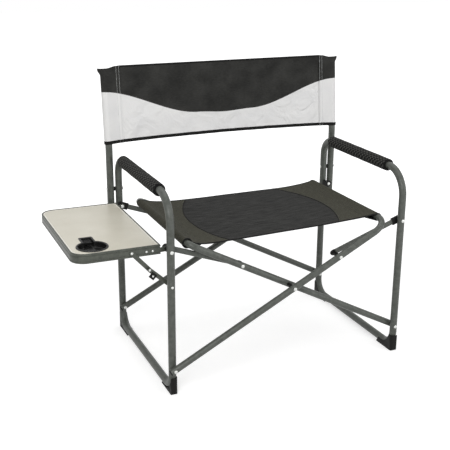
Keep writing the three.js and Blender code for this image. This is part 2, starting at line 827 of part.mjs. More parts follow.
// One end of the table, its layers counted inwards from the post's axis. side is 1 at the front
// post and -1 at the rear post.
function tableEnd(name, side) {
  const y = side > 0 ? 0 : postDepth;
  const layer = (start, end) => (side > 0 ? [start, end] : [-end, -start]);
  const rivet = (kind, x, z, steps) => {
    const placed = steps.map(([radius, start, end]) => [radius, ...layer(start, end)]);
    const geometry = turned(side > 0 ? placed : placed.reverse());
    return mesh(`brace_${kind}_rivet_${name}`, geometry, zincSteel, x, y, z);
  };
  const lowerLayer = layer(lowerBraceStart, lowerBraceEnd);
  const upperLayer = layer(upperBraceStart, rimFace - gap);
  const stopLayer = layer(lowerBraceStart - gap - stopThickness, lowerBraceStart - gap);
  const lowerAngle = Math.atan2(elbow + braceReach, elbow);
  const upperAngle = Math.atan2(elbow, elbow + braceReach);
  const strapGeometry = strap(...layer(strapStart, strapEnd));
  const lowerGeometry = braceBar([0, braceLength], ...lowerLayer);
  const upperGeometry = braceBar([0], ...upperLayer);
  return group(
    mesh(`table_strap_${name}`, strapGeometry, coatedSteel, 0, y),
    raised(mesh(`brace_lower_${name}`, lowerGeometry, coatedSteel, 0, y, -braceReach), lowerAngle),
    raised(mesh(`brace_upper_${name}`, upperGeometry, coatedSteel, -braceReach, y), upperAngle),
    raised(mesh(`brace_stop_${name}`, stopBlock(...stopLayer), blackPlastic,
      0, y, -braceReach), lowerAngle),
    rivet('post', 0, -braceReach, [
      [rivetHeadRadius, -postFace - headThickness, -postFace],
      [rivetRadius, -postFace, postFace],
      [rivetSpacerRadius, postFace, lowerBraceStart - gap],
      [rivetRadius, lowerBraceStart - gap, lowerBraceEnd],
    ]),
    rivet('elbow', elbow, elbow, [
      [rivetHeadRadius, lowerBraceStart - gap - headThickness, lowerBraceStart - gap],
      [rivetRadius, lowerBraceStart - gap, lowerBraceEnd + gap],
      [rivetSpacerRadius, lowerBraceEnd + gap, upperBraceStart - gap],
    ]),
    rivet('rim', -braceReach, 0, [
      [rivetHeadRadius, rimRivetHead, upperBraceStart - gap],
      [rivetRadius, upperBraceStart - gap, rimFace + rimWall + gap],
      [rivetHeadRadius, rimFace + rimWall + gap, rimFace + rimWall + gap + headThickness],
    ]),
  );
}

function sideTable() {
  const table = group(
    mesh('table_rim', tableRim(), coatedSteel),
    mesh('table_board', tableBoard(), laminate),
    mesh('cup_holder', cupHolder(), blackPlastic),
    tableEnd('front', 1),
    tableEnd('rear', -1),
  );
  table.position.set(-halfSpan, 0, linkPivotHeight);
  return table;
}

// ---------------------------------------------------------------- assembly

function turnedHalf(...children) {
  const half = group(...children);
  half.rotation.z = Math.PI;
  half.position.y = postDepth;
  return half;
}

const chair = group(
  sidePieces('left', -1),
  sidePieces('right', 1),
  scissorHalf('leg_frame_a', ['front', 'rear'], 'right_front_link', 'right_rear_link', 'plain'),
  turnedHalf(
    scissorHalf('leg_frame_b', ['rear', 'front'], 'left_rear_link', 'left_front_link', 'strap'),
  ),
  ...crossing('front', 0),
  ...crossing('rear', postDepth),
  seat(),
  back(),
  sideTable(),
);

// The origin is on the ground, below the middle of the whole.
const extent = new THREE.Box3().setFromObject(chair, true);
const middle = extent.getCenter(new THREE.Vector3());
chair.position.set(-middle.x, -middle.y, -extent.min.z);

export default group(chair);
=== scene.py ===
import json
import math

import bmesh
import bpy
from mathutils import Matrix, Vector, noise

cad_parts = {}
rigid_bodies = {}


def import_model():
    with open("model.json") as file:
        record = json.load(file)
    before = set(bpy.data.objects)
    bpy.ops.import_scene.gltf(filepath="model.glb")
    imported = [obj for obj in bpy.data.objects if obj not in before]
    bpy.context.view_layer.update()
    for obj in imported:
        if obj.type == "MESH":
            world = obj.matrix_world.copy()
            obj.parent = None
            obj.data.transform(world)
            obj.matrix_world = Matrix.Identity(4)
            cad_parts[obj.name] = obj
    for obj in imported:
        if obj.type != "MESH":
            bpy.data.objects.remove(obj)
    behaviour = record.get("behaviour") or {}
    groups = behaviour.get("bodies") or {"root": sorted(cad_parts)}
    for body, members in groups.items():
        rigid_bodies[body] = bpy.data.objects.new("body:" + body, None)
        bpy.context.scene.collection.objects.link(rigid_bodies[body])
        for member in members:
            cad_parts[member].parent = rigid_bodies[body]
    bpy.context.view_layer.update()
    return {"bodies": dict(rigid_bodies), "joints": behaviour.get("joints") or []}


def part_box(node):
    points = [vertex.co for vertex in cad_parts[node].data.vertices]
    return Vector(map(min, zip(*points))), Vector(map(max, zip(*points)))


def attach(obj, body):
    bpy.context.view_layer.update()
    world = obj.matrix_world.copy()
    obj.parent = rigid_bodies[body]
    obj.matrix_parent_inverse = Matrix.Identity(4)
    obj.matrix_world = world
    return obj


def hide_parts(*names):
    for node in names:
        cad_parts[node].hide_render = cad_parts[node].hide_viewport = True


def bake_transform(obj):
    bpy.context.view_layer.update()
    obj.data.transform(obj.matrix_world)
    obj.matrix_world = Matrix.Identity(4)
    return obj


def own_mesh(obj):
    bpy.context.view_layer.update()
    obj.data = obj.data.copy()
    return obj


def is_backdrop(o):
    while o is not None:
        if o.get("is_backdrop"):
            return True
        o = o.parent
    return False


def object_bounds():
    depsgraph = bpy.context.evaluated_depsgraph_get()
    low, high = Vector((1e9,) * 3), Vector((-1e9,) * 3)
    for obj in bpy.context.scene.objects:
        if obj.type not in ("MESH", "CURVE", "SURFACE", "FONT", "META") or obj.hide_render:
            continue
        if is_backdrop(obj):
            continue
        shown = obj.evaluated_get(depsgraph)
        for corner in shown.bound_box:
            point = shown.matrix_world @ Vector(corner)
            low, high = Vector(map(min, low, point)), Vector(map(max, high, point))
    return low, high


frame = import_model()

# ------------------------------------------------------------------ the chair's own frame
# Pieces are laid out in millimetres: X from the middle of the chair, positive on the side
# without the table, Y from the front posts' axis towards the back, Z from the ground.

MM = 0.001
axes = {joint["name"]: Vector(joint["pos_m"]) for joint in frame["joints"]}
ORIGIN = Vector((axes["crossing_turn"].x, axes["fold"].y, 0))
TO_FRAME = Matrix.Translation(ORIGIN) @ Matrix.Scale(MM, 4)

HALF_SPAN = (axes["right_side_turn"].x - axes["fold"].x) / 2 / MM
DEPTH = (axes["link_left_rear_turn"].y - axes["link_left_front_turn"].y) / MM
LEG_PIVOT = axes["fold"].z / MM
CROSSING = axes["crossing_turn"].z / MM
LINK_PIVOT = axes["link_left_front_turn"].z / MM

SIDES = {"left": -1, "right": 1}
ENDS = {"front": (0, 1), "rear": (DEPTH, -1)}  # a post's Y and the sense inwards from it
PLAY = 0.3  # between a tube and what sits on it

# Side frames, each one tube bent into a closed loop, and the back poles beside them
FRAME_RADIUS = 12.5
RAIL_HEIGHT = 16  # the bottom rail's axis
ARM_HEIGHT = 656
FOOT_BEND = 55  # bend radii of the tube's axis
FRONT_ARM_BEND = 90
REAR_ARM_BEND = 60
BUTT_GAP = 0.15  # half the gap where the loop's ends meet in the bottom rail
POLE_OFFSET = 31
POLE_X = HALF_SPAN + POLE_OFFSET
POLE_BOTTOM = LINK_PIVOT - 87
POLE_TOP = 944
POLE_BOLTS = (LINK_PIVOT - 57, LINK_PIVOT + 58)
LEAN_START = 690
LEAN = math.radians(6)
POST_FACE = FRAME_RADIUS + PLAY  # where a head or a spacer meets a post, from its axis

# Leg frames, each two legs and a seat rail in one tube
LEG_RADIUS = 11
LEG_OFFSET = 23.8  # leg axis to post axis
LEG_END = 13  # leg tube beyond its lower pivot
LEG_ANGLE = math.atan2(CROSSING - LEG_PIVOT, HALF_SPAN)
RAIL_X = 350
RAIL_NEAR_BEND = 62
RAIL_FAR_BEND = 36
RAIL_REACH = (HALF_SPAN + RAIL_X) / math.cos(LEG_ANGLE)
RAIL_Z = LEG_PIVOT + RAIL_REACH * math.sin(LEG_ANGLE)
LEG_FACE = LEG_OFFSET + LEG_RADIUS + PLAY  # a leg's two faces, from the post's axis
LEG_INNER_FACE = LEG_OFFSET - LEG_RADIUS - PLAY

# Links between posts and legs, and the table's straps and braces: their planes lie inwards
# from a post's axis
NEAR_LINK, FAR_LINK = 18.3, 43.4
LINKS = {
    "right_front": NEAR_LINK, "right_rear": FAR_LINK,
    "left_front": FAR_LINK, "left_rear": NEAR_LINK,
}
LINK_HALF = 4.5  # half the thickness of a link's bar
SOCKET_HALF = 5.5  # and of the socket at its post
STOP = (16.4, 22.4)
LOWER_BRACE = (22.7, 26.2)
UPPER_BRACE = (29.0, 32.5)
STRAP = (35.1, 37.6)

# Side table
TABLE_IN = -HALF_SPAN - 21
TABLE_OUT = TABLE_IN - 274
TABLE_CORNER = 46
RIM_FACE = 32.8
RIM_TOP = LINK_PIVOT + 15
RIM_BOTTOM = RIM_TOP - 30
LEDGE = 12.0  # the rim's ledge under the board
BOARD_TOP = RIM_TOP - 0.8
CUP_RADIUS = 44
CUP_Y = RIM_FACE + LEDGE + 8 + CUP_RADIUS
SLOT_HALF = 16
SLOT_REACH = 84  # from the cup's middle

# Seat canvas
CLOTH = 1.6
SLEEVE = LEG_RADIUS + 0.5 + CLOTH / 2
SEAT_FRONT = RAIL_NEAR_BEND - LEG_OFFSET + 3
SEAT_DEPTH = DEPTH - 2 * SEAT_FRONT
PANEL_REACH = 252  # the black middle panel, from its own middle to its edge
PANEL_MIDDLE = 255
PANEL_BOW = 0.0012  # per mm
FLAP_START = 386  # along the cloth from its middle
FLAP_REACH = 50  # from a rail to the sleeve's seam

# Back canvas
BACK_SEAM = 400  # seam line of the back's pockets
SEAM_IN, SEAM_OUT = BACK_SEAM - 8, BACK_SEAM + 8
PANEL_HALF = BACK_SEAM - 2
POCKET = FRAME_RADIUS + 0.6 + CLOTH / 2
BACK_LOW = 706  # at the poles, before the lower edge rises to the middle
BACK_RISE = 8
BACK_TOP = 972.5
WAVE_FROM = 105  # the seam between the back's two colours
WAVE_TO = 465
WAVE_LOW = 794
WAVE_HIGH = 886
WAVE_DIP = 5.5  # the seam's round bottom, below WAVE_LOW

# Foam grips
GRIP_START, GRIP_END = 95.0, DEPTH - 60.5  # from the front post
GRIP_HALF = (GRIP_END - GRIP_START) / 2 * MM
GRIP_MIDDLE = ORIGIN.y + (GRIP_START + GRIP_END) / 2 * MM


def centre(node):
    """The middle of a CAD node, in the chair's frame."""
    low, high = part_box(node)
    return ((low + high) / 2 - ORIGIN) / MM


def new_object(name, data):
    thing = bpy.data.objects.new(name, data)
    bpy.context.scene.collection.objects.link(thing)
    return thing


def smooth_step(value, low, high):
    """From 0 at low to 1 at high, level at both ends."""
    share = min(1.0, max(0.0, (value - low) / (high - low)))
    return share * share * (3 - 2 * share)


# ------------------------------------------------------------------ camera

CAMERA_TURN = math.radians(-23.164)
CAMERA_RISE = math.radians(18.346)
CAMERA_ROLL = 0.0058
CAMERA_PLACE = (-1.127, -2.6494, 1.4049)
CAMERA_LENS = 70.04

back_way = Vector((
    math.sin(CAMERA_TURN) * math.cos(CAMERA_RISE),
    -math.cos(CAMERA_TURN) * math.cos(CAMERA_RISE),
    math.sin(CAMERA_RISE),
))
level_right = Vector((math.cos(CAMERA_TURN), math.sin(CAMERA_TURN), 0))
level_up = back_way.cross(level_right)
right_way = level_right * math.cos(CAMERA_ROLL) + level_up * math.sin(CAMERA_ROLL)
up_way = back_way.cross(right_way)

lens = bpy.data.cameras.new("camera")
lens.lens = CAMERA_LENS
lens.sensor_width = 36
camera = new_object("camera", lens)
camera.matrix_world = Matrix.Translation(CAMERA_PLACE) @ Matrix(
    (right_way, up_way, back_way)
).transposed().to_4x4()
bpy.context.scene.camera = camera

# ------------------------------------------------------------------ materials


def linear(code):
    """An sRGB hex value as a linear colour."""
    channels = [int(code[i:i + 2], 16) / 255 for i in (0, 2, 4)]
    values = [c / 12.92 if c <= 0.04045 else ((c + 0.055) / 1.055) ** 2.4 for c in channels]
    return (*values, 1.0)


def add_node(tree, kind, inputs=None, **settings):
    """Adds a node with its settings. inputs gives each socket a value or the socket feeding it."""
    node = tree.nodes.new(kind)
    for name, value in settings.items():
        setattr(node, name, value)
    for key, value in (inputs or {}).items():
        if isinstance(value, bpy.types.NodeSocket):
            tree.links.new(value, node.inputs[key])
        else:
            node.inputs[key].default_value = value
    return node


def band_scale(pitch):
    """The scale of a wave texture with one band in each pitch, in metres."""
    return math.pi / 10 / pitch


def new_material(name):
    material = bpy.data.materials.new(name)
    material.use_nodes = True
    material.node_tree.nodes.clear()
    return material, material.node_tree


def finish_material(tree, **inputs):
    """The surface and its output. Names of inputs have _ for each space."""
    sockets = {name.replace("_", " "): value for name, value in inputs.items()}
    surface = add_node(tree, "ShaderNodeBsdfPrincipled", sockets)
    add_node(tree, "ShaderNodeOutputMaterial", {"Surface": surface.outputs[0]})


# Steel tube under a satin polyester powder coat, sprayed and baked. The eye sees a soft
# orange-peel skin, broad soft highlights and a barely mottled grey-green.
def powder_coat(name, shade, tint):
    material, tree = new_material(name)
    place = add_node(tree, "ShaderNodeTexCoord").outputs["Object"]
    mottle = add_node(
        tree, "ShaderNodeTexNoise",
        {"Vector": place, "Scale": 60.0, "Detail": 5.0, "Roughness": 0.7},
    )
    spread = add_node(
        tree, "ShaderNodeMapRange",
        {"Value": mottle.outputs["Fac"], "From Min": 0.32, "From Max": 0.68},
    )
    colour = add_node(
        tree, "ShaderNodeMix",
        {0: spread.outputs[0], 6: linear(shade), 7: linear(tint)},
        data_type="RGBA",
    )
    rough = add_node(
        tree, "ShaderNodeMapRange",
        {"Value": mottle.outputs["Fac"], "To Min": 0.34, "To Max": 0.46},
    )
    # Orange peel is 1 to 2 mm wide. It is drawn 3 mm wide so that it shows.
    peel = add_node(tree, "ShaderNodeTexNoise", {"Vector": place, "Scale": 330.0, "Detail": 2.0})
    bump = add_node(
        tree, "ShaderNodeBump",
        {"Strength": 0.22, "Distance": 0.0004, "Height": peel.outputs["Fac"]},
    )
    finish_material(
        tree,
        Base_Color=colour.outputs[2],
        Roughness=rough.outputs[0],
        Specular_IOR_Level=0.36,
        Normal=bump.outputs[0],
    )
    return material


# Bright zinc plate on pressed steel. The eye sees small pale glints with a fine grain.
def zinc_plate():
    material, tree = new_material("zinc_plated_steel")
    place = add_node(tree, "ShaderNodeTexCoord").outputs["Object"]
    # The plate's crystals are under 0.5 mm. They are drawn at 2.4 mm so that they show.
    grain = add_node(tree, "ShaderNodeTexNoise", {"Vector": place, "Scale": 420.0, "Detail": 4.0})
    colour = add_node(
        tree, "ShaderNodeMix",
        {0: grain.outputs["Fac"], 6: linear("b4b6b4"), 7: linear("d9dad6")},
        data_type="RGBA",
    )
    rough = add_node(
        tree, "ShaderNodeMapRange",
        {"Value": grain.outputs["Fac"], "To Min": 0.25, "To Max": 0.5},
    )
    bump = add_node(
        tree, "ShaderNodeBump",
        {"Strength": 0.15, "Distance": 0.0002, "Height": grain.outputs["Fac"]},
    )
    finish_material(
        tree,
        Base_Color=colour.outputs[2],
        Metallic=1.0,
        Roughness=rough.outputs[0],
        Normal=bump.outputs[0],
    )
    return material


# Black nylon, injection moulded in a spark-eroded tool. The eye sees a dull grain of fine pits.
def moulded_nylon(name, shade, tint, low_rough, high_rough, specular):
    material, tree = new_material(name)
    place = add_node(tree, "ShaderNodeTexCoord").outputs["Object"]
    # The tool's grain is about 0.3 mm. It is drawn at 1.2 mm so that it shows.
    pits = add_node(tree, "ShaderNodeTexVoronoi", {"Vector": place, "Scale": 820.0})
    cloud = add_node(tree, "ShaderNodeTexNoise", {"Vector": place, "Scale": 60.0, "Detail": 3.0})
    colour = add_node(
        tree, "ShaderNodeMix",
        {0: cloud.outputs["Fac"], 6: linear(shade), 7: linear(tint)},
        data_type="RGBA",
    )
    rough = add_node(
        tree, "ShaderNodeMapRange",
        {"Value": cloud.outputs["Fac"], "To Min": low_rough, "To Max": high_rough},
    )
    bump = add_node(
        tree, "ShaderNodeBump",
        {"Strength": 0.3, "Distance": 0.0003, "Height": pits.outputs["Distance"]},
    )
    finish_material(
        tree,
        Base_Color=colour.outputs[2],
        Roughness=rough.outputs[0],
        Specular_IOR_Level=specular,
        Normal=bump.outputs[0],
    )
    return material


# Closed-cell rubber foam, extruded as a sleeve. The eye sees a matte black skin pressed with a
# fine cross-hatch, and small pores between. The pores are painted darker as painted shade, and the
# hatch's ridges paler as a painted highlight.
def foam_rubber():
    material, tree = new_material("closed_cell_foam")
    place = add_node(tree, "ShaderNodeTexCoord").outputs["Object"]
    # Pores are about 1 mm. They are drawn at 3 mm so that they show.
    pores = add_node(tree, "ShaderNodeTexVoronoi", {"Vector": place, "Scale": 330.0})
    cloud = add_node(tree, "ShaderNodeTexNoise", {"Vector": place, "Scale": 140.0, "Detail": 4.0})
    # The cross-hatch is 2 mm wide. It is drawn at 9 mm so that it shows.
    hatch = [
        add_node(
            tree, "ShaderNodeTexWave",
            {"Vector": place, "Scale": band_scale(0.009), "Distortion": 1.2, "Detail": 2.0},
            wave_type="BANDS", bands_direction=direction,
        ).outputs["Fac"]
        for direction in ("Y", "DIAGONAL")
    ]
    crossed = add_node(
        tree, "ShaderNodeMath", {0: hatch[0], 1: hatch[1]}, operation="MULTIPLY",
    )
    # The cut ends of the sleeve have no hatch.
    axes_of_place = add_node(tree, "ShaderNodeSeparateXYZ", {0: place})
    from_middle = add_node(
        tree, "ShaderNodeMath",
        {0: axes_of_place.outputs[1], 1: GRIP_MIDDLE}, operation="SUBTRACT",
    )
    from_middle = add_node(
        tree, "ShaderNodeMath", {0: from_middle.outputs[0]}, operation="ABSOLUTE",
    )
    off_ends = add_node(
        tree, "ShaderNodeMapRange",
        {"Value": from_middle.outputs[0], "From Min": GRIP_HALF - 6 * MM,
         "From Max": GRIP_HALF - 3 * MM, "To Min": 1.0, "To Max": 0.0},
    )
    hatched = add_node(
        tree, "ShaderNodeMath", {0: crossed.outputs[0], 1: off_ends.outputs[0]},
        operation="MULTIPLY",
    )
    ridges = add_node(
        tree, "ShaderNodeMapRange",
        {"Value": hatched.outputs[0], "From Min": 0.25, "From Max": 0.6},
    )
    pore_mask = add_node(
        tree, "ShaderNodeMapRange",
        {"Value": pores.outputs["Distance"], "From Min": 0.1, "From Max": 0.6},
    )
    mottled = add_node(
        tree, "ShaderNodeMix",
        {0: cloud.outputs["Fac"], 6: linear("0b0b0b"), 7: linear("202020")},
        data_type="RGBA",
    )
    # Painted shade: the pores are darker than the skin.
    pores_painted_shade = add_node(
        tree, "ShaderNodeMix",
        {0: pore_mask.outputs[0], 6: linear("080808"), 7: mottled.outputs[2]},
        data_type="RGBA",
    )
    # Painted highlight: the hatch's ridges are paler than the skin.
    colour = add_node(
        tree, "ShaderNodeMix",
        {0: ridges.outputs[0], 6: pores_painted_shade.outputs[2], 7: linear("585854")},
        data_type="RGBA",
    )
    height = add_node(
        tree, "ShaderNodeMath",
        {0: pores.outputs["Distance"], 1: ridges.outputs[0]},
        operation="ADD",
    )
    bump = add_node(
        tree, "ShaderNodeBump",
        {"Strength": 0.6, "Distance": 0.0008, "Height": height.outputs[0]},
    )
    finish_material(
        tree,
        Base_Color=colour.outputs[2],
        Roughness=0.92,
        Specular_IOR_Level=0.15,
        Normal=bump.outputs[0],
    )
    return material


def weave(tree, chart, pitch):
    """Plain weave on the cloth's own chart, as a height from 0 to 1. pitch is in metres."""
    waves = [
        add_node(
            tree, "ShaderNodeTexWave",
            {"Vector": chart, "Scale": band_scale(pitch), "Distortion": 0.6,
             "Detail": 1.0, "Detail Scale": 2.0},
            wave_type="BANDS", bands_direction=direction, wave_profile="SIN",
        ).outputs["Fac"]
        for direction in ("X", "Y")
    ]
    return add_node(
        tree, "ShaderNodeMath", {0: waves[0], 1: waves[1]}, operation="MULTIPLY",
    ).outputs[0]


def heather(tree, chart, stretch, scale):
    """Threads of mixed colour, as streaks along the cloth's first direction, from 0 to 1."""
    long_chart = add_node(
        tree, "ShaderNodeMapping", {"Vector": chart, "Scale": (1.0, stretch, 1.0)},
    )
    streaks = add_node(
        tree, "ShaderNodeTexNoise",
        {"Vector": long_chart.outputs[0], "Scale": scale, "Detail": 5.0, "Roughness": 0.65},
    )
    return add_node(
        tree, "ShaderNodeMapRange",
        {"Value": streaks.outputs["Fac"], "From Min": 0.3, "From Max": 0.7},
    ).outputs[0]


# Seat: heavy polyester canvas, plain woven. Its sides are olive-grey with mixed threads, and
# its middle panel is near black with faint slubs across. The weave shows as a dry, rough skin.
def seat_canvas():
    material, tree = new_material("woven_seat_canvas")
    chart = add_node(tree, "ShaderNodeUVMap", uv_map="chart").outputs[0]
    # The yarns are 0.7 mm apart. They are drawn at 2.4 mm so that they show.
    threads = weave(tree, chart, 0.0024)
    flecks = heather(tree, chart, 5.0, 85.0)
    slubs = heather(tree, chart, 7.0, 17.0)
    axes_of_chart = add_node(tree, "ShaderNodeSeparateXYZ", {0: chart})
    across = add_node(
        tree, "ShaderNodeMath", {0: axes_of_chart.outputs[0]}, operation="ABSOLUTE",
    )
    # The middle panel's edges are sewn in a bow. They draw in from the middle to both hems.
    from_middle = add_node(
        tree, "ShaderNodeMath", {0: axes_of_chart.outputs[1], 1: PANEL_MIDDLE * MM},
        operation="SUBTRACT",
    )
    squared = add_node(
        tree, "ShaderNodeMath",
        {0: from_middle.outputs[0], 1: from_middle.outputs[0]},
        operation="MULTIPLY",
    )
    bowed = add_node(
        tree, "ShaderNodeMath",
        {0: squared.outputs[0], 1: PANEL_BOW / MM, 2: across.outputs[0]},
        operation="MULTIPLY_ADD",
    )
    middle_panel = add_node(
        tree, "ShaderNodeMath", {0: bowed.outputs[0], 1: PANEL_REACH * MM},
        operation="LESS_THAN",
    )
    side = add_node(
        tree, "ShaderNodeMix", {0: flecks, 6: linear("2b2a23"), 7: linear("525145")},
        data_type="RGBA",
    )
    middle = add_node(
        tree, "ShaderNodeMix", {0: slubs, 6: linear("141414"), 7: linear("3c3c3a")},
        data_type="RGBA",
    )
    both = add_node(
        tree, "ShaderNodeMix",
        {0: middle_panel.outputs[0], 6: side.outputs[2], 7: middle.outputs[2]},
        data_type="RGBA",
    )
    # The sleeves' flaps under the rails are painted near black: painted shade under the rails.
    flap = add_node(
        tree, "ShaderNodeMath", {0: across.outputs[0], 1: FLAP_START * MM},
        operation="GREATER_THAN",
    )
    flap_painted_shade = add_node(
        tree, "ShaderNodeMix",
        {0: flap.outputs[0], 6: both.outputs[2], 7: linear("191918")},
        data_type="RGBA",
    )
    # Painted shade: the colour is darker in the weave's hollows, and a little paler on the yarns'
    # tops.
    weave_painted_shade = add_node(
        tree, "ShaderNodeMapRange", {"Value": threads, "To Min": 0.8, "To Max": 1.06},
    )
    colour = add_node(
        tree, "ShaderNodeVectorMath", {0: flap_painted_shade.outputs[2], "Scale": weave_painted_shade.outputs[0]},
        operation="SCALE",
    )
    bump = add_node(
        tree, "ShaderNodeBump", {"Strength": 0.45, "Distance": 0.0006, "Height": threads},
    )
    finish_material(
        tree,
        Base_Color=colour.outputs[0],
        Roughness=0.9,
        Specular_IOR_Level=0.12,
        Sheen_Weight=0.03,
        Sheen_Roughness=0.5,
        Normal=bump.outputs[0],
    )
    return material


# Back: the same canvas, black above a wavy seam and light grey below. The eye sees soft
# clouding in the grey and a dry weave in both.
def back_canvas():
    material, tree = new_material("woven_back_canvas")
    chart = add_node(tree, "ShaderNodeUVMap", uv_map="chart").outputs[0]
    # The yarns are 0.7 mm apart. They are drawn at 2.4 mm so that they show.
    threads = weave(tree, chart, 0.0024)
    flecks = heather(tree, chart, 3.0, 90.0)
    cloud = add_node(tree, "ShaderNodeTexNoise", {"Vector": chart, "Scale": 14.0, "Detail": 2.0})
    # Creases that handling has left in the coated cloth, 30 to 80 mm long.
    creases = add_node(
        tree, "ShaderNodeTexNoise",
        {"Vector": chart, "Scale": 15.0, "Detail": 3.0, "Roughness": 0.5, "Distortion": 1.4},
    )
    axes_of_chart = add_node(tree, "ShaderNodeSeparateXYZ", {0: chart})
    across = add_node(
        tree, "ShaderNodeMath", {0: axes_of_chart.outputs[0]}, operation="ABSOLUTE",
    )
    # The creases gather beside the pockets' seams. The pockets lie smooth on the poles.
    gathered = add_node(
        tree, "ShaderNodeMapRange",
        {"Value": across.outputs[0], "From Min": 0.16, "From Max": 0.3,
         "To Min": 0.6, "To Max": 0.8},
    )
    off_pocket = add_node(
        tree, "ShaderNodeMapRange",
        {"Value": across.outputs[0], "From Min": (BACK_SEAM - 16) * MM,
         "From Max": BACK_SEAM * MM, "To Min": 1.0, "To Max": 0.15},
    )
    crease_share = add_node(
        tree, "ShaderNodeMath", {0: gathered.outputs[0], 1: off_pocket.outputs[0]},
        operation="MULTIPLY",
    )
    crease_height = add_node(
        tree, "ShaderNodeMath", {0: creases.outputs["Fac"], 1: crease_share.outputs[0]},
        operation="MULTIPLY",
    )
    seam = add_node(
        tree, "ShaderNodeMapRange",
        {"Value": across.outputs[0], "From Min": WAVE_FROM * MM, "From Max": WAVE_TO * MM,
         "To Min": WAVE_LOW * MM, "To Max": WAVE_HIGH * MM},
        interpolation_type="SMOOTHSTEP",
    )
    dip = add_node(
        tree, "ShaderNodeMapRange",
        {"Value": across.outputs[0], "From Min": 0.0, "From Max": WAVE_FROM * MM,
         "To Min": -WAVE_DIP * MM, "To Max": 0.0},
        interpolation_type="SMOOTHSTEP",
    )
    seam_line = add_node(
        tree, "ShaderNodeMath", {0: seam.outputs[0], 1: dip.outputs[0]}, operation="ADD",
    )
    black_part = add_node(
        tree, "ShaderNodeMath", {0: axes_of_chart.outputs[1], 1: seam_line.outputs[0]},
        operation="GREATER_THAN",
    )
    worn = add_node(
        tree, "ShaderNodeMath",
        {0: flecks, 1: 0.3, 2: cloud.outputs["Fac"]}, operation="MULTIPLY_ADD",
    )
    faded = add_node(
        tree, "ShaderNodeMapRange", {"Value": worn.outputs[0], "From Min": 0.35, "From Max": 0.95},
    )
    black = add_node(
        tree, "ShaderNodeMix", {0: faded.outputs[0], 6: linear("232322"), 7: linear("3b3b39")},
        data_type="RGBA",
    )
    grey = add_node(
        tree, "ShaderNodeMix",
        {0: cloud.outputs["Fac"], 6: linear("dfdfe0"), 7: linear("eeedeb")},
        data_type="RGBA",
    )
    both = add_node(
        tree, "ShaderNodeMix",
        {0: black_part.outputs[0], 6: grey.outputs[2], 7: black.outputs[2]},
        data_type="RGBA",
    )
    # Painted shade: the colour is darker in the weave's hollows, and a little paler on the yarns'
    # tops.
    weave_painted_shade = add_node(
        tree, "ShaderNodeMapRange", {"Value": threads, "To Min": 0.9, "To Max": 1.03},
    )
    colour = add_node(
        tree, "ShaderNodeVectorMath", {0: both.outputs[2], "Scale": weave_painted_shade.outputs[0]},
        operation="SCALE",
    )
    crumpled = add_node(
        tree, "ShaderNodeBump",
        {"Strength": 0.6, "Distance": 0.02, "Height": crease_height.outputs[0]},
    )
    bump = add_node(
        tree, "ShaderNodeBump",
        {"Strength": 0.4, "Distance": 0.0005, "Height": threads,
         "Normal": crumpled.outputs[0]},
    )
    finish_material(
        tree,
        Base_Color=colour.outputs[0],
        Roughness=0.88,
        Specular_IOR_Level=0.12,
        Sheen_Weight=0.03,
        Sheen_Roughness=0.5,
        Normal=bump.outputs[0],
    )
    return material


# Polyester grosgrain tape, woven with ribs across. The eye sees a narrow, dull black edge, painted
# darker between its ribs as painted shade.
def grosgrain():
    material, tree = new_material("grosgrain_tape")
    place = add_node(tree, "ShaderNodeTexCoord").outputs["Object"]
    # The ribs are 0.8 mm apart. They are drawn at 2.5 mm so that they show.
    ribs = add_node(
        tree, "ShaderNodeTexWave",
        {"Vector": place, "Scale": band_scale(0.0025), "Distortion": 0.4, "Detail": 1.0},
        wave_type="BANDS", bands_direction="X",
    )
    # Painted shade: darker between the ribs, on the same bands as the bump.
    colour = add_node(
        tree, "ShaderNodeMix",
        {0: ribs.outputs["Fac"], 6: linear("101010"), 7: linear("1e1e1d")},
        data_type="RGBA",
    )
    bump = add_node(
        tree, "ShaderNodeBump",
        {"Strength": 0.4, "Distance": 0.0004, "Height": ribs.outputs["Fac"]},
    )
    finish_material(
        tree,
        Base_Color=colour.outputs[2],
        Roughness=0.85,
        Specular_IOR_Level=0.15,
        Normal=bump.outputs[0],
    )
    return material


# Twisted polyester sewing thread. The eye sees a pale dashed line with a slight gloss.
def sewing_thread(name, shade, tint):
    material, tree = new_material(name)
    place = add_node(tree, "ShaderNodeTexCoord").outputs["Object"]
    twist = add_node(tree, "ShaderNodeTexNoise", {"Vector": place, "Scale": 900.0})
    colour = add_node(
        tree, "ShaderNodeMix",
        {0: twist.outputs["Fac"], 6: linear(shade), 7: linear(tint)},
        data_type="RGBA",
    )
    finish_material(tree, Base_Color=colour.outputs[2], Roughness=0.6)
    return material


# Melamine laminate pressed on board, cream with a fine speckle. The eye sees a smooth satin top.
def laminate(name, shade, tint):
    material, tree = new_material(name)
    place = add_node(tree, "ShaderNodeTexCoord").outputs["Object"]
    cloud = add_node(tree, "ShaderNodeTexNoise", {"Vector": place, "Scale": 9.0, "Detail": 4.0})
    # The print's speckle is under 1 mm. It is drawn at 3 mm so that it shows.
    speckle = add_node(
        tree, "ShaderNodeTexNoise", {"Vector": place, "Scale": 330.0, "Detail": 2.0},
    )
    print_mix = add_node(
        tree, "ShaderNodeMath",
        {0: speckle.outputs["Fac"], 1: 0.35, 2: cloud.outputs["Fac"]},
        operation="MULTIPLY_ADD",
    )
    shaded = add_node(
        tree, "ShaderNodeMapRange",
        {"Value": print_mix.outputs[0], "From Min": 0.4, "From Max": 1.0},
    )
    colour = add_node(
        tree, "ShaderNodeMix",
        {0: shaded.outputs[0], 6: linear(shade), 7: linear(tint)},
        data_type="RGBA",
    )
    bump = add_node(
        tree, "ShaderNodeBump",
        {"Strength": 0.08, "Distance": 0.0003, "Height": speckle.outputs["Fac"]},
    )
    finish_material(
        tree,
        Base_Color=colour.outputs[2],
        Roughness=0.36,
        Normal=bump.outputs[0],
    )
    return material


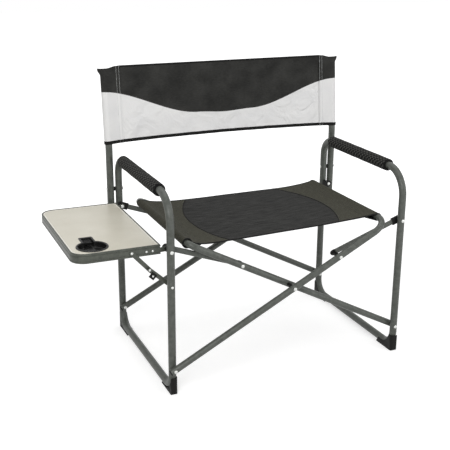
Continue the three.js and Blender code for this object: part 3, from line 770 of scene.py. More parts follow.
coated_steel = powder_coat("powder_coated_steel", "40433e", "585b56")
coated_rim = powder_coat("powder_coated_table_rim", "3c3f39", "50534b")
zinc = zinc_plate()
nylon = moulded_nylon("moulded_black_nylon", "0e0e0e", "1b1b1a", 0.42, 0.6, 0.14)
glossy_nylon = moulded_nylon("polished_black_cup", "101010", "1b1b1a", 0.22, 0.36, 0.3)
foam = foam_rubber()
seat_cloth = seat_canvas()
back_cloth = back_canvas()
tape = grosgrain()
pale_thread = sewing_thread("pale_sewing_thread", "b9bbbc", "d6d7d5")
dark_thread = sewing_thread("dark_sewing_thread", "2c2c2a", "45443e")
board_laminate = laminate("cream_laminate", "c3beae", "d3cfc1")
# The edge bead's paler laminate is a painted highlight along the board's edge.
bead_highlight_finish = laminate("pale_edge_painted_highlight", "e2ded2", "ece9e0")

# ------------------------------------------------------------------ shape trees


def new_tree(name, sizes):
    """A tree with a mesh coming in, the named sizes and the material, and the way in and out."""
    tree = bpy.data.node_groups.new(name, "GeometryNodeTree")
    tree.interface.new_socket("Geometry", in_out="INPUT", socket_type="NodeSocketGeometry")
    for size, kind in sizes.items():
        tree.interface.new_socket(size, in_out="INPUT", socket_type=kind)
    tree.interface.new_socket("Material", in_out="INPUT", socket_type="NodeSocketMaterial")
    tree.interface.new_socket("Geometry", in_out="OUTPUT", socket_type="NodeSocketGeometry")
    return tree, add_node(tree, "NodeGroupInput").outputs


def close_tree(tree, given, shape):
    """Ends a tree: real mesh in the given material."""
    real = add_node(tree, "GeometryNodeRealizeInstances", {0: shape})
    coloured = add_node(
        tree, "GeometryNodeSetMaterial", {0: real.outputs[0], "Material": given["Material"]},
    )
    add_node(tree, "NodeGroupOutput", {0: coloured.outputs[0]})
    return tree


def bent_tube_tree():
    """A round tube along a route of straight runs, bent at each corner to its own radius."""
    tree, given = new_tree("bent_tube", {
        "Tube radius": "NodeSocketFloat",
        "Sides": "NodeSocketInt",
        "Bend steps": "NodeSocketInt",
    })
    route = add_node(tree, "GeometryNodeMeshToCurve", {0: given["Geometry"]})
    bend = add_node(tree, "GeometryNodeInputNamedAttribute", {"Name": "bend"}, data_type="FLOAT")
    rounded = add_node(tree, "GeometryNodeFilletCurve", mode="POLY")
    tree.links.new(route.outputs[0], rounded.inputs["Curve"])
    tree.links.new(given["Bend steps"], rounded.inputs["Count"])
    tree.links.new(bend.outputs["Attribute"], rounded.inputs["Radius"])
    section = add_node(
        tree, "GeometryNodeCurvePrimitiveCircle",
        {"Resolution": given["Sides"], "Radius": given["Tube radius"]},
    )
    skin = add_node(
        tree, "GeometryNodeCurveToMesh",
        {"Curve": rounded.outputs[0], "Profile Curve": section.outputs[0], "Fill Caps": True},
    )
    return close_tree(tree, given, skin.outputs[0])


def hardware_tree():
    """Bars along edges, and a domed head on each point that has a head size."""
    tree, given = new_tree("hardware", {"Sides": "NodeSocketInt"})
    bars = add_node(tree, "GeometryNodeMeshToCurve", {0: given["Geometry"]})
    bar_radius = add_node(
        tree, "GeometryNodeInputNamedAttribute", {"Name": "bar_radius"}, data_type="FLOAT",
    )
    section = add_node(
        tree, "GeometryNodeCurvePrimitiveCircle", {"Resolution": given["Sides"], "Radius": 1.0},
    )
    bar_skin = add_node(
        tree, "GeometryNodeCurveToMesh",
        {"Curve": bars.outputs[0], "Profile Curve": section.outputs[0],
         "Scale": bar_radius.outputs["Attribute"], "Fill Caps": True},
    )
    size = add_node(
        tree, "GeometryNodeInputNamedAttribute", {"Name": "head_size"}, data_type="FLOAT_VECTOR",
    )
    facing = add_node(
        tree, "GeometryNodeInputNamedAttribute", {"Name": "facing"}, data_type="FLOAT_VECTOR",
    )
    has_head = add_node(
        tree, "ShaderNodeVectorMath", {0: size.outputs["Attribute"]}, operation="LENGTH",
    )
    heads = add_node(
        tree, "GeometryNodeMeshToPoints",
        {"Mesh": given["Geometry"], "Selection": has_head.outputs["Value"]},
    )
    ball = add_node(
        tree, "GeometryNodeMeshUVSphere", {"Segments": given["Sides"], "Rings": 12, "Radius": 1.0},
    )
    where = add_node(tree, "GeometryNodeInputPosition")
    split = add_node(tree, "ShaderNodeSeparateXYZ", {0: where.outputs[0]})
    flat_foot = add_node(
        tree, "ShaderNodeMath", {0: split.outputs[2], 1: 0.0}, operation="MAXIMUM",
    )
    joined = add_node(
        tree, "ShaderNodeCombineXYZ",
        {0: split.outputs[0], 1: split.outputs[1], 2: flat_foot.outputs[0]},
    )
    dome = add_node(
        tree, "GeometryNodeSetPosition", {0: ball.outputs[0], "Position": joined.outputs[0]},
    )
    turn = add_node(
        tree, "FunctionNodeAlignRotationToVector",
        {"Vector": facing.outputs["Attribute"]}, axis="Z",
    )
    placed = add_node(
        tree, "GeometryNodeInstanceOnPoints",
        {"Points": heads.outputs[0], "Instance": dome.outputs[0],
         "Rotation": turn.outputs[0], "Scale": size.outputs["Attribute"]},
    )
    both = add_node(tree, "GeometryNodeJoinGeometry")
    tree.links.new(bar_skin.outputs[0], both.inputs[0])
    tree.links.new(placed.outputs[0], both.inputs[0])
    return close_tree(tree, given, both.outputs[0])


def stitch_tree():
    """A row of stitches along a line, each a small capsule of thread."""
    tree, given = new_tree("stitch_row", {
        "Pitch": "NodeSocketFloat",
        "Stitch": "NodeSocketVector",
    })
    line = add_node(tree, "GeometryNodeMeshToCurve", {0: given["Geometry"]})
    spaced = add_node(tree, "GeometryNodeResampleCurve", mode="LENGTH")
    tree.links.new(line.outputs[0], spaced.inputs["Curve"])
    tree.links.new(given["Pitch"], spaced.inputs["Length"])
    capsule = add_node(tree, "GeometryNodeMeshIcoSphere", {"Radius": 0.5, "Subdivisions": 1})
    along = add_node(tree, "GeometryNodeInputTangent")
    turn = add_node(
        tree, "FunctionNodeAlignRotationToVector", {"Vector": along.outputs[0]}, axis="X",
    )
    placed = add_node(
        tree, "GeometryNodeInstanceOnPoints",
        {"Points": spaced.outputs[0], "Instance": capsule.outputs[0],
         "Rotation": turn.outputs[0], "Scale": given["Stitch"]},
    )
    return close_tree(tree, given, placed.outputs[0])


bent_tube = bent_tube_tree()
hardware = hardware_tree()
stitch_row = stitch_tree()

# ------------------------------------------------------------------ making pieces


def plain_mesh(name, points, edges=(), faces=()):
    mesh = bpy.data.meshes.new(name)
    mesh.from_pydata([tuple(point) for point in points], list(edges), list(faces))
    return mesh


def give(mesh, name, kind, values):
    """Stores one value for each point of a mesh."""
    attribute = mesh.attributes.new(name, kind, "POINT")
    if kind == "FLOAT":
        attribute.data.foreach_set("value", values)
    else:
        attribute.data.foreach_set("vector", [part for value in values for part in value])


def bake(thing):
    """The shape that an object's modifiers make, as its own plain mesh."""
    depsgraph = bpy.context.evaluated_depsgraph_get()
    shaped = bpy.data.meshes.new_from_object(
        thing.evaluated_get(depsgraph), preserve_all_data_layers=True, depsgraph=depsgraph,
    )
    thing.modifiers.clear()
    thing.data = shaped
    return thing


def grow(name, mesh, tree, material, **sizes):
    """Runs a shape tree on a mesh. Names of sizes have _ for each space."""
    thing = new_object(name, mesh)
    modifier = thing.modifiers.new("shape", "NODES")
    modifier.node_group = tree
    wanted = {size.replace("_", " "): value for size, value in sizes.items()}
    wanted["Material"] = material
    for item in tree.interface.items_tree:
        if item.in_out == "INPUT" and item.name in wanted:
            modifier[item.identifier] = wanted[item.name]
    return bake(thing)


def shade(mesh, crease):
    """Smooth faces, with sharp edges where the surface turns by more than crease degrees."""
    work = bmesh.new()
    work.from_mesh(mesh)
    bmesh.ops.recalc_face_normals(work, faces=work.faces)
    for face in work.faces:
        face.smooth = True
    for edge in work.edges:
        edge.smooth = edge.calc_face_angle(0) < math.radians(crease)
    work.to_mesh(mesh)
    work.free()


def finish_piece(thing, material, crease=35):
    """Shades a piece, gives it its material and moves its mesh to its place in the frame."""
    shade(thing.data, crease)
    thing.data.materials.clear()
    thing.data.materials.append(material)
    thing.data.transform(TO_FRAME)
    return thing


def set_on(thing, body, *nodes):
    """Puts a finished piece on its body in place of CAD nodes."""
    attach(thing, body)
    if nodes:
        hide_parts(*nodes)
    return thing


def steel_piece(thing, body, *nodes, finish=coated_steel, crease=35):
    """Coats a steel piece and puts it on its body."""
    return set_on(finish_piece(thing, finish, crease), body, *nodes)


def plastic_piece(thing, body, *nodes, finish=nylon, crease=35):
    """Finishes a moulded piece and puts it on its body."""
    return set_on(finish_piece(thing, finish, crease), body, *nodes)


def tape_piece(thing):
    """Finishes a piece of tape. It does not put it on a body."""
    return finish_piece(thing, tape, crease=70)


def route(name, corners):
    """A route for a bent tube: corners of (point, bend radius)."""
    mesh = plain_mesh(name, [point for point, _ in corners],
                      [(i, i + 1) for i in range(len(corners) - 1)])
    give(mesh, "bend", "FLOAT", [float(bend) for _, bend in corners])
    return mesh


def tube(name, radius, corners, material, sides=32, steps=16):
    return grow(name, route(name, corners), bent_tube, material,
                Tube_radius=float(radius), Sides=sides, Bend_steps=steps)


def stitches(name, rows, material, pitch=5.5, stitch=(4.4, 1.3, 0.9)):
    """Stitches along one or more rows of points, as one piece."""
    points = [point for row in rows for point in row]
    edges = []
    start = 0
    for row in rows:
        edges += [(start + i, start + i + 1) for i in range(len(row) - 1)]
        start += len(row)
    return grow(name, plain_mesh(name, points, edges), stitch_row, material,
                Pitch=float(pitch), Stitch=stitch)


def loft(name, rings, cyclic=False, capped=True):
    """A skin over rings of equally many points."""
    count = len(rings[0])
    points = [point for ring in rings for point in ring]
    faces = []
    spans = len(rings) if cyclic else len(rings) - 1
    for i in range(spans):
        here, there = i * count, ((i + 1) % len(rings)) * count
        for j in range(count):
            k = (j + 1) % count
            faces.append((here + j, here + k, there + k, there + j))
    if capped and not cyclic:
        faces.append(tuple(range(count)))
        faces.append(tuple(range((len(rings) - 1) * count, len(rings) * count)))
    return new_object(name, plain_mesh(name, points, faces=faces))


def plate(name, outline, place, start, end, bevel=0.5, segments=2):
    """A flat outline given thickness between start and end. place turns (a, b, depth) into a
    point. Its long edges are rounded by bevel."""
    work = bmesh.new()
    rings = [[work.verts.new(place(a, b, depth)) for a, b in outline] for depth in (start, end)]
    caps = [work.faces.new(ring) for ring in rings]
    for j in range(len(outline)):
        k = (j + 1) % len(outline)
        work.faces.new((rings[0][j], rings[0][k], rings[1][k], rings[1][j]))
    bmesh.ops.recalc_face_normals(work, faces=work.faces)
    if bevel:
        rim = list({edge for cap in caps for edge in cap.edges})
        bmesh.ops.bevel(work, geom=rim, offset=bevel, segments=segments, profile=0.5,
                        affect="EDGES", clamp_overlap=True)
    mesh = bpy.data.meshes.new(name)
    work.to_mesh(mesh)
    work.free()
    return new_object(name, mesh)


def upright(a, b, depth):
    return Vector((a, depth, b))


def cut_away(thing, *tools, bevel=0.0):
    """Takes the tools' shapes out of a piece, then rounds its sharp edges."""
    for tool in tools:
        modifier = thing.modifiers.new("cut", "BOOLEAN")
        modifier.operation = "DIFFERENCE"
        modifier.solver = "EXACT"
        modifier.object = tool
    if bevel:
        modifier = thing.modifiers.new("round", "BEVEL")
        modifier.width = bevel
        modifier.segments = 2
        modifier.limit_method = "ANGLE"
        modifier.angle_limit = math.radians(40)
    bake(thing)
    for tool in tools:
        bpy.data.objects.remove(tool)
    return thing


def arc(middle_a, middle_b, radius, start, end, steps):
    """Points of an arc, angles in degrees."""
    turns = [math.radians(start + (end - start) * i / steps) for i in range(steps + 1)]
    return [(middle_a + radius * math.cos(t), middle_b + radius * math.sin(t)) for t in turns]


def bar_outline(start, end, width, round_end=True):
    """The outline of a flat bar along its first axis, round at its start."""
    half = width / 2
    far = arc(end - half, 0, half, -90, 90, 14) if round_end else [(end, -half), (end, half)]
    return arc(start + half, 0, half, 90, 270, 14) + far


class Kit:
    """Bolt heads, shafts and spacers of one body, as points for the hardware tree."""

    def __init__(self):
        self.points = []
        self.edges = []
        self.sizes = []
        self.facings = []
        self.radii = []

    def point(self, place, radius=0.0, size=(0.0, 0.0, 0.0), facing=(0.0, 0.0, 1.0)):
        self.points.append(place)
        self.radii.append(float(radius))
        self.sizes.append(size)
        self.facings.append(tuple(facing))

    def head(self, place, facing, radius, thickness):
        self.point(place, size=(radius, radius, thickness), facing=facing)

    def bar(self, start, end, radius):
        """A bar with its two ends chamfered."""
        way = (end - start).normalized()
        chamfer = min(0.7, radius / 4)
        first = len(self.points)
        self.point(start, radius - chamfer)
        self.point(start + way * chamfer, radius)
        self.point(end - way * chamfer, radius)
        self.point(end, radius - chamfer)
        self.edges += [(first + i, first + i + 1) for i in range(3)]

    def make(self, name, material, slot, body, *nodes):
        mesh = plain_mesh(name, self.points, self.edges)
        give(mesh, "bar_radius", "FLOAT", self.radii)
        give(mesh, "head_size", "FLOAT_VECTOR", self.sizes)
        give(mesh, "facing", "FLOAT_VECTOR", self.facings)
        thing = grow(name, mesh, hardware, material, Sides=20)
        set_on(finish_piece(thing, material, crease=40), body, *nodes)


bodies = [body for body in frame["bodies"] if body != "root"]
metal_kits = {body: Kit() for body in bodies}
spacer_kits = {body: Kit() for body in bodies}
bolted_nodes = {body: [] for body in bodies}

# Radii of the fasteners' parts
BOLT, BOLT_HEAD, SPACER = 3.5, 6.0, 7.5
RIVET, RIVET_HEAD, RIVET_SPACER = 2.5, 4.5, 5.0
HEAD_RISE = 2.2


def near_head(face, radius=BOLT_HEAD):
    """The step of a fastener that is a head on the face it starts from."""
    return "head_out", radius, face - HEAD_RISE, face


def far_head(face, radius=BOLT_HEAD):
    """The step that is a head on the face it comes out of."""
    return "head_in", radius, face, face + HEAD_RISE


def fasten(body, node, origin, way, steps):
    """Adds one fastener, which stands for a CAD node or for None. steps are (kind, radius,
    start, end) along way from the origin."""
    for kind, radius, start, end in steps:
        a, b = origin + way * start, origin + way * end
        if kind == "head_out":
            metal_kits[body].head(b, -way, radius, end - start)
        elif kind == "head_in":
            metal_kits[body].head(a, way, radius, end - start)
        elif kind == "spacer":
            spacer_kits[body].bar(a, b, radius)
        else:
            metal_kits[body].bar(a, b, radius)
    if node:
        bolted_nodes[body].append(node)


# ------------------------------------------------------------------ side frames


def side_loop(name, x):
    middle = DEPTH / 2
    return tube(f"{name}_loop", FRAME_RADIUS, [
        (Vector((x, y, z)), bend) for y, z, bend in (
            (middle + BUTT_GAP, RAIL_HEIGHT, 0),
            (DEPTH, RAIL_HEIGHT, FOOT_BEND),
            (DEPTH, ARM_HEIGHT, REAR_ARM_BEND),
            (0, ARM_HEIGHT, FRONT_ARM_BEND),
            (0, RAIL_HEIGHT, FOOT_BEND),
            (middle - BUTT_GAP, RAIL_HEIGHT, 0),
        )
    ], coated_steel, sides=40, steps=20)


def back_pole(name, x):
    """Upright beside the rear post, then leaning back in one wide bend."""
    top_y = DEPTH + (POLE_TOP - LEAN_START) * math.tan(LEAN)
    return tube(f"{name}_pole", FRAME_RADIUS, [
        (Vector((x, DEPTH, POLE_BOTTOM)), 0),
        (Vector((x, DEPTH, LEAN_START)), 150),
        (Vector((x, top_y, POLE_TOP)), 0),
    ], coated_steel, sides=40)


def tube_plug(name, end, way, radius):
    """A domed plug pressed into a tube's end. way points out of the tube."""
    aside = way.orthogonal().normalized()
    across = way.cross(aside)
    profile = [(-8, radius - 1.6), (-0.4, radius - 1.6), (0.0, radius - 0.3), (0.9, radius),
               (2.2, radius - 0.3), (3.4, radius - 2.2), (4.2, radius - 5.5)]
    rings = [
        [end + way * out + (aside * math.cos(t) + across * math.sin(t)) * wide
         for t in (math.tau * i / 28 for i in range(28))]
        for out, wide in profile
    ]
    return loft(name, rings)


def arm_grip(name, x):
    """A foam sleeve on the arm: uneven thickness, soft ends, and a wall that hangs a little."""
    bore, outer, soft = 12.9, 20.4, 4.2
    count = 150

    def ring(y, radius_at):
        return [
            Vector((x + radius_at(t) * math.cos(t), y, ARM_HEIGHT + radius_at(t) * math.sin(t)))
            for t in (math.tau * j / 48 for j in range(48))
        ]

    rings = [ring(GRIP_START, lambda t: bore)]
    for i in range(count + 1):
        y = GRIP_START + (GRIP_END - GRIP_START) * i / count
        NEAR_END = min(y - GRIP_START, GRIP_END - y)
        shoulder = soft - math.sqrt(max(0.0, soft**2 - max(0.0, soft - NEAR_END) ** 2))
        radius = outer - shoulder

        def uneven(t, y=y, radius=radius):
            lump = noise.noise(Vector((math.cos(t) * 1.1 + x / 40, math.sin(t) * 1.1, y / 38)))
            hang = 1.1 * max(0.0, -math.sin(t))
            return radius + (0.8 * lump + hang) * min(1.0, (radius - bore) / 6)

        rings.append(ring(y, uneven))
    rings.append(ring(GRIP_END, lambda t: bore))
    return loft(f"{name}_foam_grip", rings, cyclic=True)


BOOT_HEIGHT = 58
BOOT_REACH = 80  # along the bottom rail
BOOT_EDGE = 52  # radius of the side wall's top edge, round the bend's centre
BOOT_TOE = 6


def shoe(name, x, end):
    """A boot round the outside of a bottom bend: front wall, sole and a side wall with a
    curved edge towards the middle of the chair, open on the outer side."""
    post_y, sense = ENDS[end]

    def place(a, b, depth):
        return Vector((x + math.copysign(1, x) * depth, post_y + sense * a, b))

    def place_level(a, depth, b):
        return place(a, b, depth)

    inner = FRAME_RADIUS + PLAY
    face = inner + 1.9
    wall_face, open_side = inner + 1.2, FRAME_RADIUS - 2.5
    clear = 150  # well past the boot's ends
    bend_height = RAIL_HEIGHT + FOOT_BEND
    wall_end = 180 + math.degrees(math.asin((bend_height - BOOT_HEIGHT) / BOOT_EDGE))
    outline = [(-face, BOOT_HEIGHT), (-face, BOOT_TOE)]
    outline += arc(BOOT_TOE - face, BOOT_TOE, BOOT_TOE, 187, 263, 6)
    outline += [(BOOT_TOE - face, 0), (BOOT_REACH, 0), (BOOT_REACH, 4)]
    outline += arc(FOOT_BEND, bend_height, BOOT_EDGE, 285, wall_end, 18)
    body = plate(name, outline, place, -wall_face, open_side, bevel=0)

    channel = tube("channel", inner, [
        (place(0, clear, 0), 0),
        (place(0, RAIL_HEIGHT, 0), FOOT_BEND),
        (place(clear, RAIL_HEIGHT, 0), 0),
    ], None, sides=32)
    opening = [(-inner, clear), (-inner, bend_height)]
    opening += arc(FOOT_BEND, bend_height, FOOT_BEND + inner, 182, 268, 14)
    opening += [(FOOT_BEND, RAIL_HEIGHT - inner), (clear, RAIL_HEIGHT - inner), (clear, clear)]
    tools = [channel, plate("opening", opening, place, 0, 30, bevel=0)]
    # The front wall's two upright corners are rounded, most on the side with the wall.
    for radius, edge, way in ((11.0, wall_face, -1), (3.5, open_side, 1)):
        middle = (radius - face, way * (edge - radius))
        beyond = way * (edge + 2)
        corner = [(-face - 2, middle[1]), (-face - 2, beyond), (middle[0], beyond)]
        corner += arc(*middle, radius, 90 * way, 180 * way, 10)
        tools.append(plate("corner", corner, place_level, -2, BOOT_HEIGHT + 4, bevel=0))
    return cut_away(body, *tools, bevel=0.5)


for side, sign in SIDES.items():
    body = f"{side}_side"
    post_x = sign * HALF_SPAN
    pole_x = sign * POLE_X
    steel_piece(side_loop(side, post_x), body, f"{side}_side_frame")
    steel_piece(back_pole(side, pole_x), body, f"{side}_back_pole")
    plastic_piece(tube_plug(f"{side}_pole_plug", Vector((pole_x, DEPTH, POLE_BOTTOM)),
                            Vector((0, 0, -1)), FRAME_RADIUS), body)
    grip = finish_piece(arm_grip(side, post_x), foam, crease=60)
    set_on(grip, body, f"{side}_arm_grip")
    for end in ENDS:
        plastic_piece(shoe(f"{side}_{end}_boot", post_x, end), body, f"{side}_{end}_shoe",
                      crease=30)
    for number, height in enumerate(POLE_BOLTS, 1):
        fasten(body, f"{side}_pole_bolt_{number}", Vector((post_x, DEPTH, height)),
               Vector((sign, 0, 0)), [
                   near_head(-POST_FACE),
                   ("bar", BOLT, -POST_FACE, POST_FACE),
                   ("spacer", SPACER, POST_FACE, POLE_OFFSET - POST_FACE),
                   ("bar", BOLT, POLE_OFFSET - POST_FACE, POLE_OFFSET + POST_FACE),
                   far_head(POLE_OFFSET + POST_FACE)])

# ------------------------------------------------------------------ leg frames and links

INWARD = Vector((0, 1, 0))


def leg_frame(name, side_sign, y_front, y_rear, front_bend, rear_bend):
    """Two legs and a seat rail in one tube. It starts at the posts on side_sign's side."""
    along = Vector((-side_sign * math.cos(LEG_ANGLE), 0, math.sin(LEG_ANGLE)))
    pivot = Vector((side_sign * HALF_SPAN, 0, LEG_PIVOT))

    def on_leg(reach, y):
        return pivot + along * reach + Vector((0, y, 0))

    frame_tube = tube(name, LEG_RADIUS, [
        (on_leg(-LEG_END, y_front), 0),
        (on_leg(RAIL_REACH, y_front), front_bend),
        (on_leg(RAIL_REACH, y_rear), rear_bend),
        (on_leg(-LEG_END, y_rear), 0),
    ], coated_steel, sides=36, steps=18)
    plugs = [
        tube_plug(f"{name}_plug_{end}", on_leg(-LEG_END, y), -along, LEG_RADIUS)
        for end, y in (("front", y_front), ("rear", y_rear))
    ]
    return frame_tube, plugs


for name, side_sign, y_front, bends in (
    ("a", -1, -LEG_OFFSET, (RAIL_NEAR_BEND, RAIL_FAR_BEND)),
    ("b", 1, LEG_OFFSET, (RAIL_FAR_BEND, RAIL_NEAR_BEND)),
):
    frame_tube, plugs = leg_frame(
        f"leg_tube_{name}", side_sign, y_front, DEPTH + y_front, *bends)
    steel_piece(frame_tube, f"legs_{name}", f"leg_frame_{name}")
    for plug in plugs:
        plastic_piece(plug, f"legs_{name}")

# The lower pivots: leg frame A is in front of both left posts, leg frame B behind both right
# posts.
for end, (y, _) in ENDS.items():
    for leg, body, side_sign, sense in (("a", "left_side", -1, 1), ("b", "right_side", 1, -1)):
        fasten(body, f"leg_frame_{leg}_{end}_pivot_bolt",
               Vector((side_sign * HALF_SPAN, y, LEG_PIVOT)), INWARD * sense, [
                   near_head(-LEG_FACE),
                   ("bar", BOLT, -LEG_FACE, POST_FACE),
                   far_head(POST_FACE)])
    fasten("legs_a", f"{end}_crossing_bolt", Vector((0, y, CROSSING)), INWARD, [
        near_head(-LEG_FACE),
        ("bar", BOLT, -LEG_FACE, LEG_FACE),
        ("spacer", SPACER, -LEG_INNER_FACE, LEG_INNER_FACE),
        far_head(LEG_FACE)])
    bolted_nodes["legs_a"].append(f"{end}_crossing_spacer")


def link_frame(place, y):
    """The post pivot of a link, its direction towards its leg pivot, and the distance."""
    side, _ = place.split("_")
    post = Vector((SIDES[side] * HALF_SPAN, y, LINK_PIVOT))
    leg = centre(f"{place}_link_leg_bolt")
    leg.y = y
    return post, (leg - post).normalized(), (leg - post).length


def link_section(half_width, half_thick, groove):
    """Half-round edges and two shallow grooves along each flat face."""
    across = [half_width * math.sin(math.pi / 2 * i / 12) for i in range(-12, 13)]
    side = []
    for w in across:
        edge = max(0.0, abs(w) - half_width + half_thick) / half_thick
        thick = half_thick * math.sqrt(max(0.0, 1 - edge**2))
        thick -= groove * math.exp(-(((abs(w) - 0.38 * half_width) / (0.13 * half_width)) ** 2))
        side.append((w, thick))
    return side[:-1] + [(w, -t) for w, t in reversed(side[1:])]


def link_loft(name, post, along, stations):
    """A flat bar along a link. stations are (distance, half width, half thickness, groove)."""
    across = along.cross(INWARD)
    rings = [
        [post + along * reach + across * w + INWARD * t
         for w, t in link_section(half_width, half_thick, groove)]
        for reach, half_width, half_thick, groove in stations
    ]
    return loft(name, rings)


def round_tip(end, half_width, half_thick):
    """Stations of a bar's round end, seen flat."""
    steps = 8
    turns = [math.pi / 2 * i / steps for i in range(steps)]
    return [
        (end - half_width + half_width * math.sin(t), max(0.8, half_width * math.cos(t)),
         half_thick, 0.0)
        for t in turns
    ] + [(end, 0.8, half_thick * 0.8, 0)]


for place, inwards in LINKS.items():
    name, body = f"{place}_link", f"link_{place}"
    side, end = place.split("_")
    post_y, sense = ENDS[end]
    post, along, length = link_frame(place, post_y + sense * inwards)
    across = along.cross(INWARD)
    bar_stations = [(26.3, 9, LINK_HALF, 0.75), (length - 8, 9, LINK_HALF, 0.75)]
    steel_piece(link_loft(f"{name}_bar", post, along, bar_stations), body, name, crease=50)

    # The ribbed end cap over the leg pivot.
    tip = length + 11.0
    ribs = []
    reach = length - 8.0
    while reach < tip - 10:
        ribs += [(reach, 9.2, 4.7, 0), (reach + 0.5, 9.9, 5.1, 0),
                 (reach + 1.9, 9.9, 5.1, 0), (reach + 2.4, 9.2, 4.7, 0)]
        reach += 3.0
    ribs += round_tip(tip, 9.6, 4.9)
    plastic_piece(link_loft(f"{name}_end_cap", post, along, ribs), body, crease=50)

    def on_link(a, b, depth):
        return post + along * a + across * b + INWARD * depth

    plastic_piece(plate(f"{name}_socket", bar_outline(-12, 26, 24, round_end=False),
                        on_link, -SOCKET_HALF, SOCKET_HALF, bevel=1.8, segments=3),
                  body, f"{name}_cap")

# The bolts that hold the links. Distances run inwards from a post's axis: through the post, and
# on the left through the table's strap too.
NEAR_END = NEAR_LINK + SOCKET_HALF + PLAY
FAR_START, FAR_END = FAR_LINK - SOCKET_HALF - PLAY, FAR_LINK + SOCKET_HALF + PLAY
STRAP_START, STRAP_END = STRAP[0] - PLAY, STRAP[1] + PLAY
POST_BOLTS = {
    "right_front": [("bar", BOLT, POST_FACE, NEAR_END), far_head(NEAR_END)],
    "right_rear": [("spacer", SPACER, POST_FACE, FAR_START), ("bar", BOLT, FAR_START, FAR_END),
                   far_head(FAR_END)],
    "left_rear": [("bar", BOLT, POST_FACE, NEAR_END), ("spacer", SPACER, NEAR_END, STRAP_START),
                  ("bar", BOLT, STRAP_START, STRAP_END), far_head(STRAP_END)],
    "left_front": [("spacer", SPACER, POST_FACE, STRAP_START),
                   ("bar", BOLT, STRAP_START, FAR_END), far_head(FAR_END)],
}
for place, steps in POST_BOLTS.items():
    side, end = place.split("_")
    post_y, sense = ENDS[end]
    fasten(f"{side}_side", f"{place}_link_post_bolt",
           Vector((SIDES[side] * HALF_SPAN, post_y, LINK_PIVOT)), INWARD * sense,
           [near_head(-POST_FACE), ("bar", BOLT, -POST_FACE, POST_FACE)] + steps)

# At the legs: a head on the face away from the link, a bar through the leg, then a spacer.
for place in POST_BOLTS:
    side, end = place.split("_")
    post_y, sense = ENDS[end]
    start = -LEG_FACE if LINKS[place] == NEAR_LINK else LEG_INNER_FACE
    at = centre(f"{place}_link_leg_bolt")
    at.y = post_y + sense * start
    through = 2 * (LEG_RADIUS + PLAY)
    fasten("legs_a" if side == "right" else "legs_b", f"{place}_link_leg_bolt", at,
           INWARD * sense, [
               near_head(0),
               ("bar", BOLT, 0, through),
               ("spacer", SPACER, through, LINKS[place] - LINK_HALF - PLAY - start)])

# ------------------------------------------------------------------ side table


def table_outline(inset):
    """Square corners next to the chair and round corners on the outside."""
    radius = TABLE_CORNER - inset
    low, high = RIM_FACE + inset, DEPTH - RIM_FACE - inset
    out = TABLE_OUT + inset
    return (
        [(TABLE_IN - inset, low), (TABLE_IN - inset, high)]
        + arc(out + radius, high - radius, radius, 90, 180, 14)
        + arc(out + radius, low + radius, radius, 180, 270, 14)
    )


def around_table(name, profile):
    """A closed moulding round the table. profile is a closed list of (inset, height)."""
    rings = [[Vector((x, y, z)) for x, y in table_outline(inset)] for inset, z in profile]
    return loft(name, rings, cyclic=True)


def channel_profile():
    """An extruded channel: a lip over the board, two grooves on its face, a ledge inside."""
    top, low = RIM_TOP, RIM_BOTTOM
    ledge = BOARD_TOP - 7.3
    return [
        (2.1, top - 0.6), (4.7, top - 0.6), (5.2, top + 0.1), (4.8, top + 0.9), (3.4, top + 1.4),
        (1.6, top + 1.2), (0.5, top + 0.4), (0.0, top - 0.8),
        (0.0, top - 4.6), (0.4, top - 5.2), (1.4, top - 5.8), (1.4, top - 7.4),
        (0.4, top - 8.0), (0.0, top - 8.6), (0.0, low + 8.1), (0.4, low + 7.5),
        (1.4, low + 6.9), (1.4, low + 5.3), (0.4, low + 4.7), (0.0, low + 4.1),
        (0.0, low + 1.0), (0.4, low + 0.3), (1.0, low), (1.6, low + 0.2), (2.0, low + 0.9),
        (2.0, ledge - 2), (LEDGE, ledge - 2), (LEDGE, ledge), (2.0, ledge),
    ]


CUP_X = centre("cup_holder").x


def cup_outline(offset):
    """A circle with a square slot for a mug's handle, towards the rear."""
    radius = CUP_RADIUS + offset
    half = SLOT_HALF + offset
    start = math.degrees(math.acos(half / radius))
    corner = 3.0 if offset > -2 else 1.5
    reach = CUP_Y + SLOT_REACH + offset
    slot = arc(CUP_X + half - corner, reach - corner, corner, 0, 90, 4)
    slot += arc(CUP_X - half + corner, reach - corner, corner, 90, 180, 4)
    return slot + arc(CUP_X, CUP_Y, radius, 180 - start, 360 + start, 56)


def cup_ring(offset, z):
    return [Vector((x, y, z)) for x, y in cup_outline(offset)]


def cup_holder():
    """A shallow cup with a rolled flange lying in the board."""
    top = BOARD_TOP + 2.1
    floor = top - 20
    profile = [
        (0.0, floor - 1.8), (1.4, floor - 1.4), (1.8, floor - 0.6), (1.8, BOARD_TOP - 1.2),
        (6.3, BOARD_TOP - 1.2), (6.3, top - 1.3), (5.9, top - 0.5), (5.0, top),
        (3.9, top), (3.2, top - 0.7), (2.4, top - 1.2), (1.5, top - 0.3), (0.7, top - 0.4),
        (0.1, top - 1.4), (-0.1, top - 3), (-0.5, floor + 3), (-1.2, floor + 1.0),
        (-3.0, floor),
    ]
    return loft("cup_shell", [cup_ring(offset, z) for offset, z in profile])


steel_piece(around_table("table_channel", channel_profile()), "table", "table_rim",
            finish=coated_rim, crease=38)

board_profile = [(2.3, BOARD_TOP - 7), (2.3, BOARD_TOP - 0.6), (2.9, BOARD_TOP)]
board = loft("table_panel", [
    [Vector((x, y, z)) for x, y in table_outline(inset)] for inset, z in board_profile
])
well = loft("well", [cup_ring(2.1, BOARD_TOP - 9), cup_ring(2.1, BOARD_TOP + 2)])
seat_of_flange = loft("recess", [cup_ring(6.6, BOARD_TOP - 1.5), cup_ring(6.6, BOARD_TOP + 2)])
cut_away(board, well, seat_of_flange)
set_on(finish_piece(board, board_laminate), "table", "table_board")
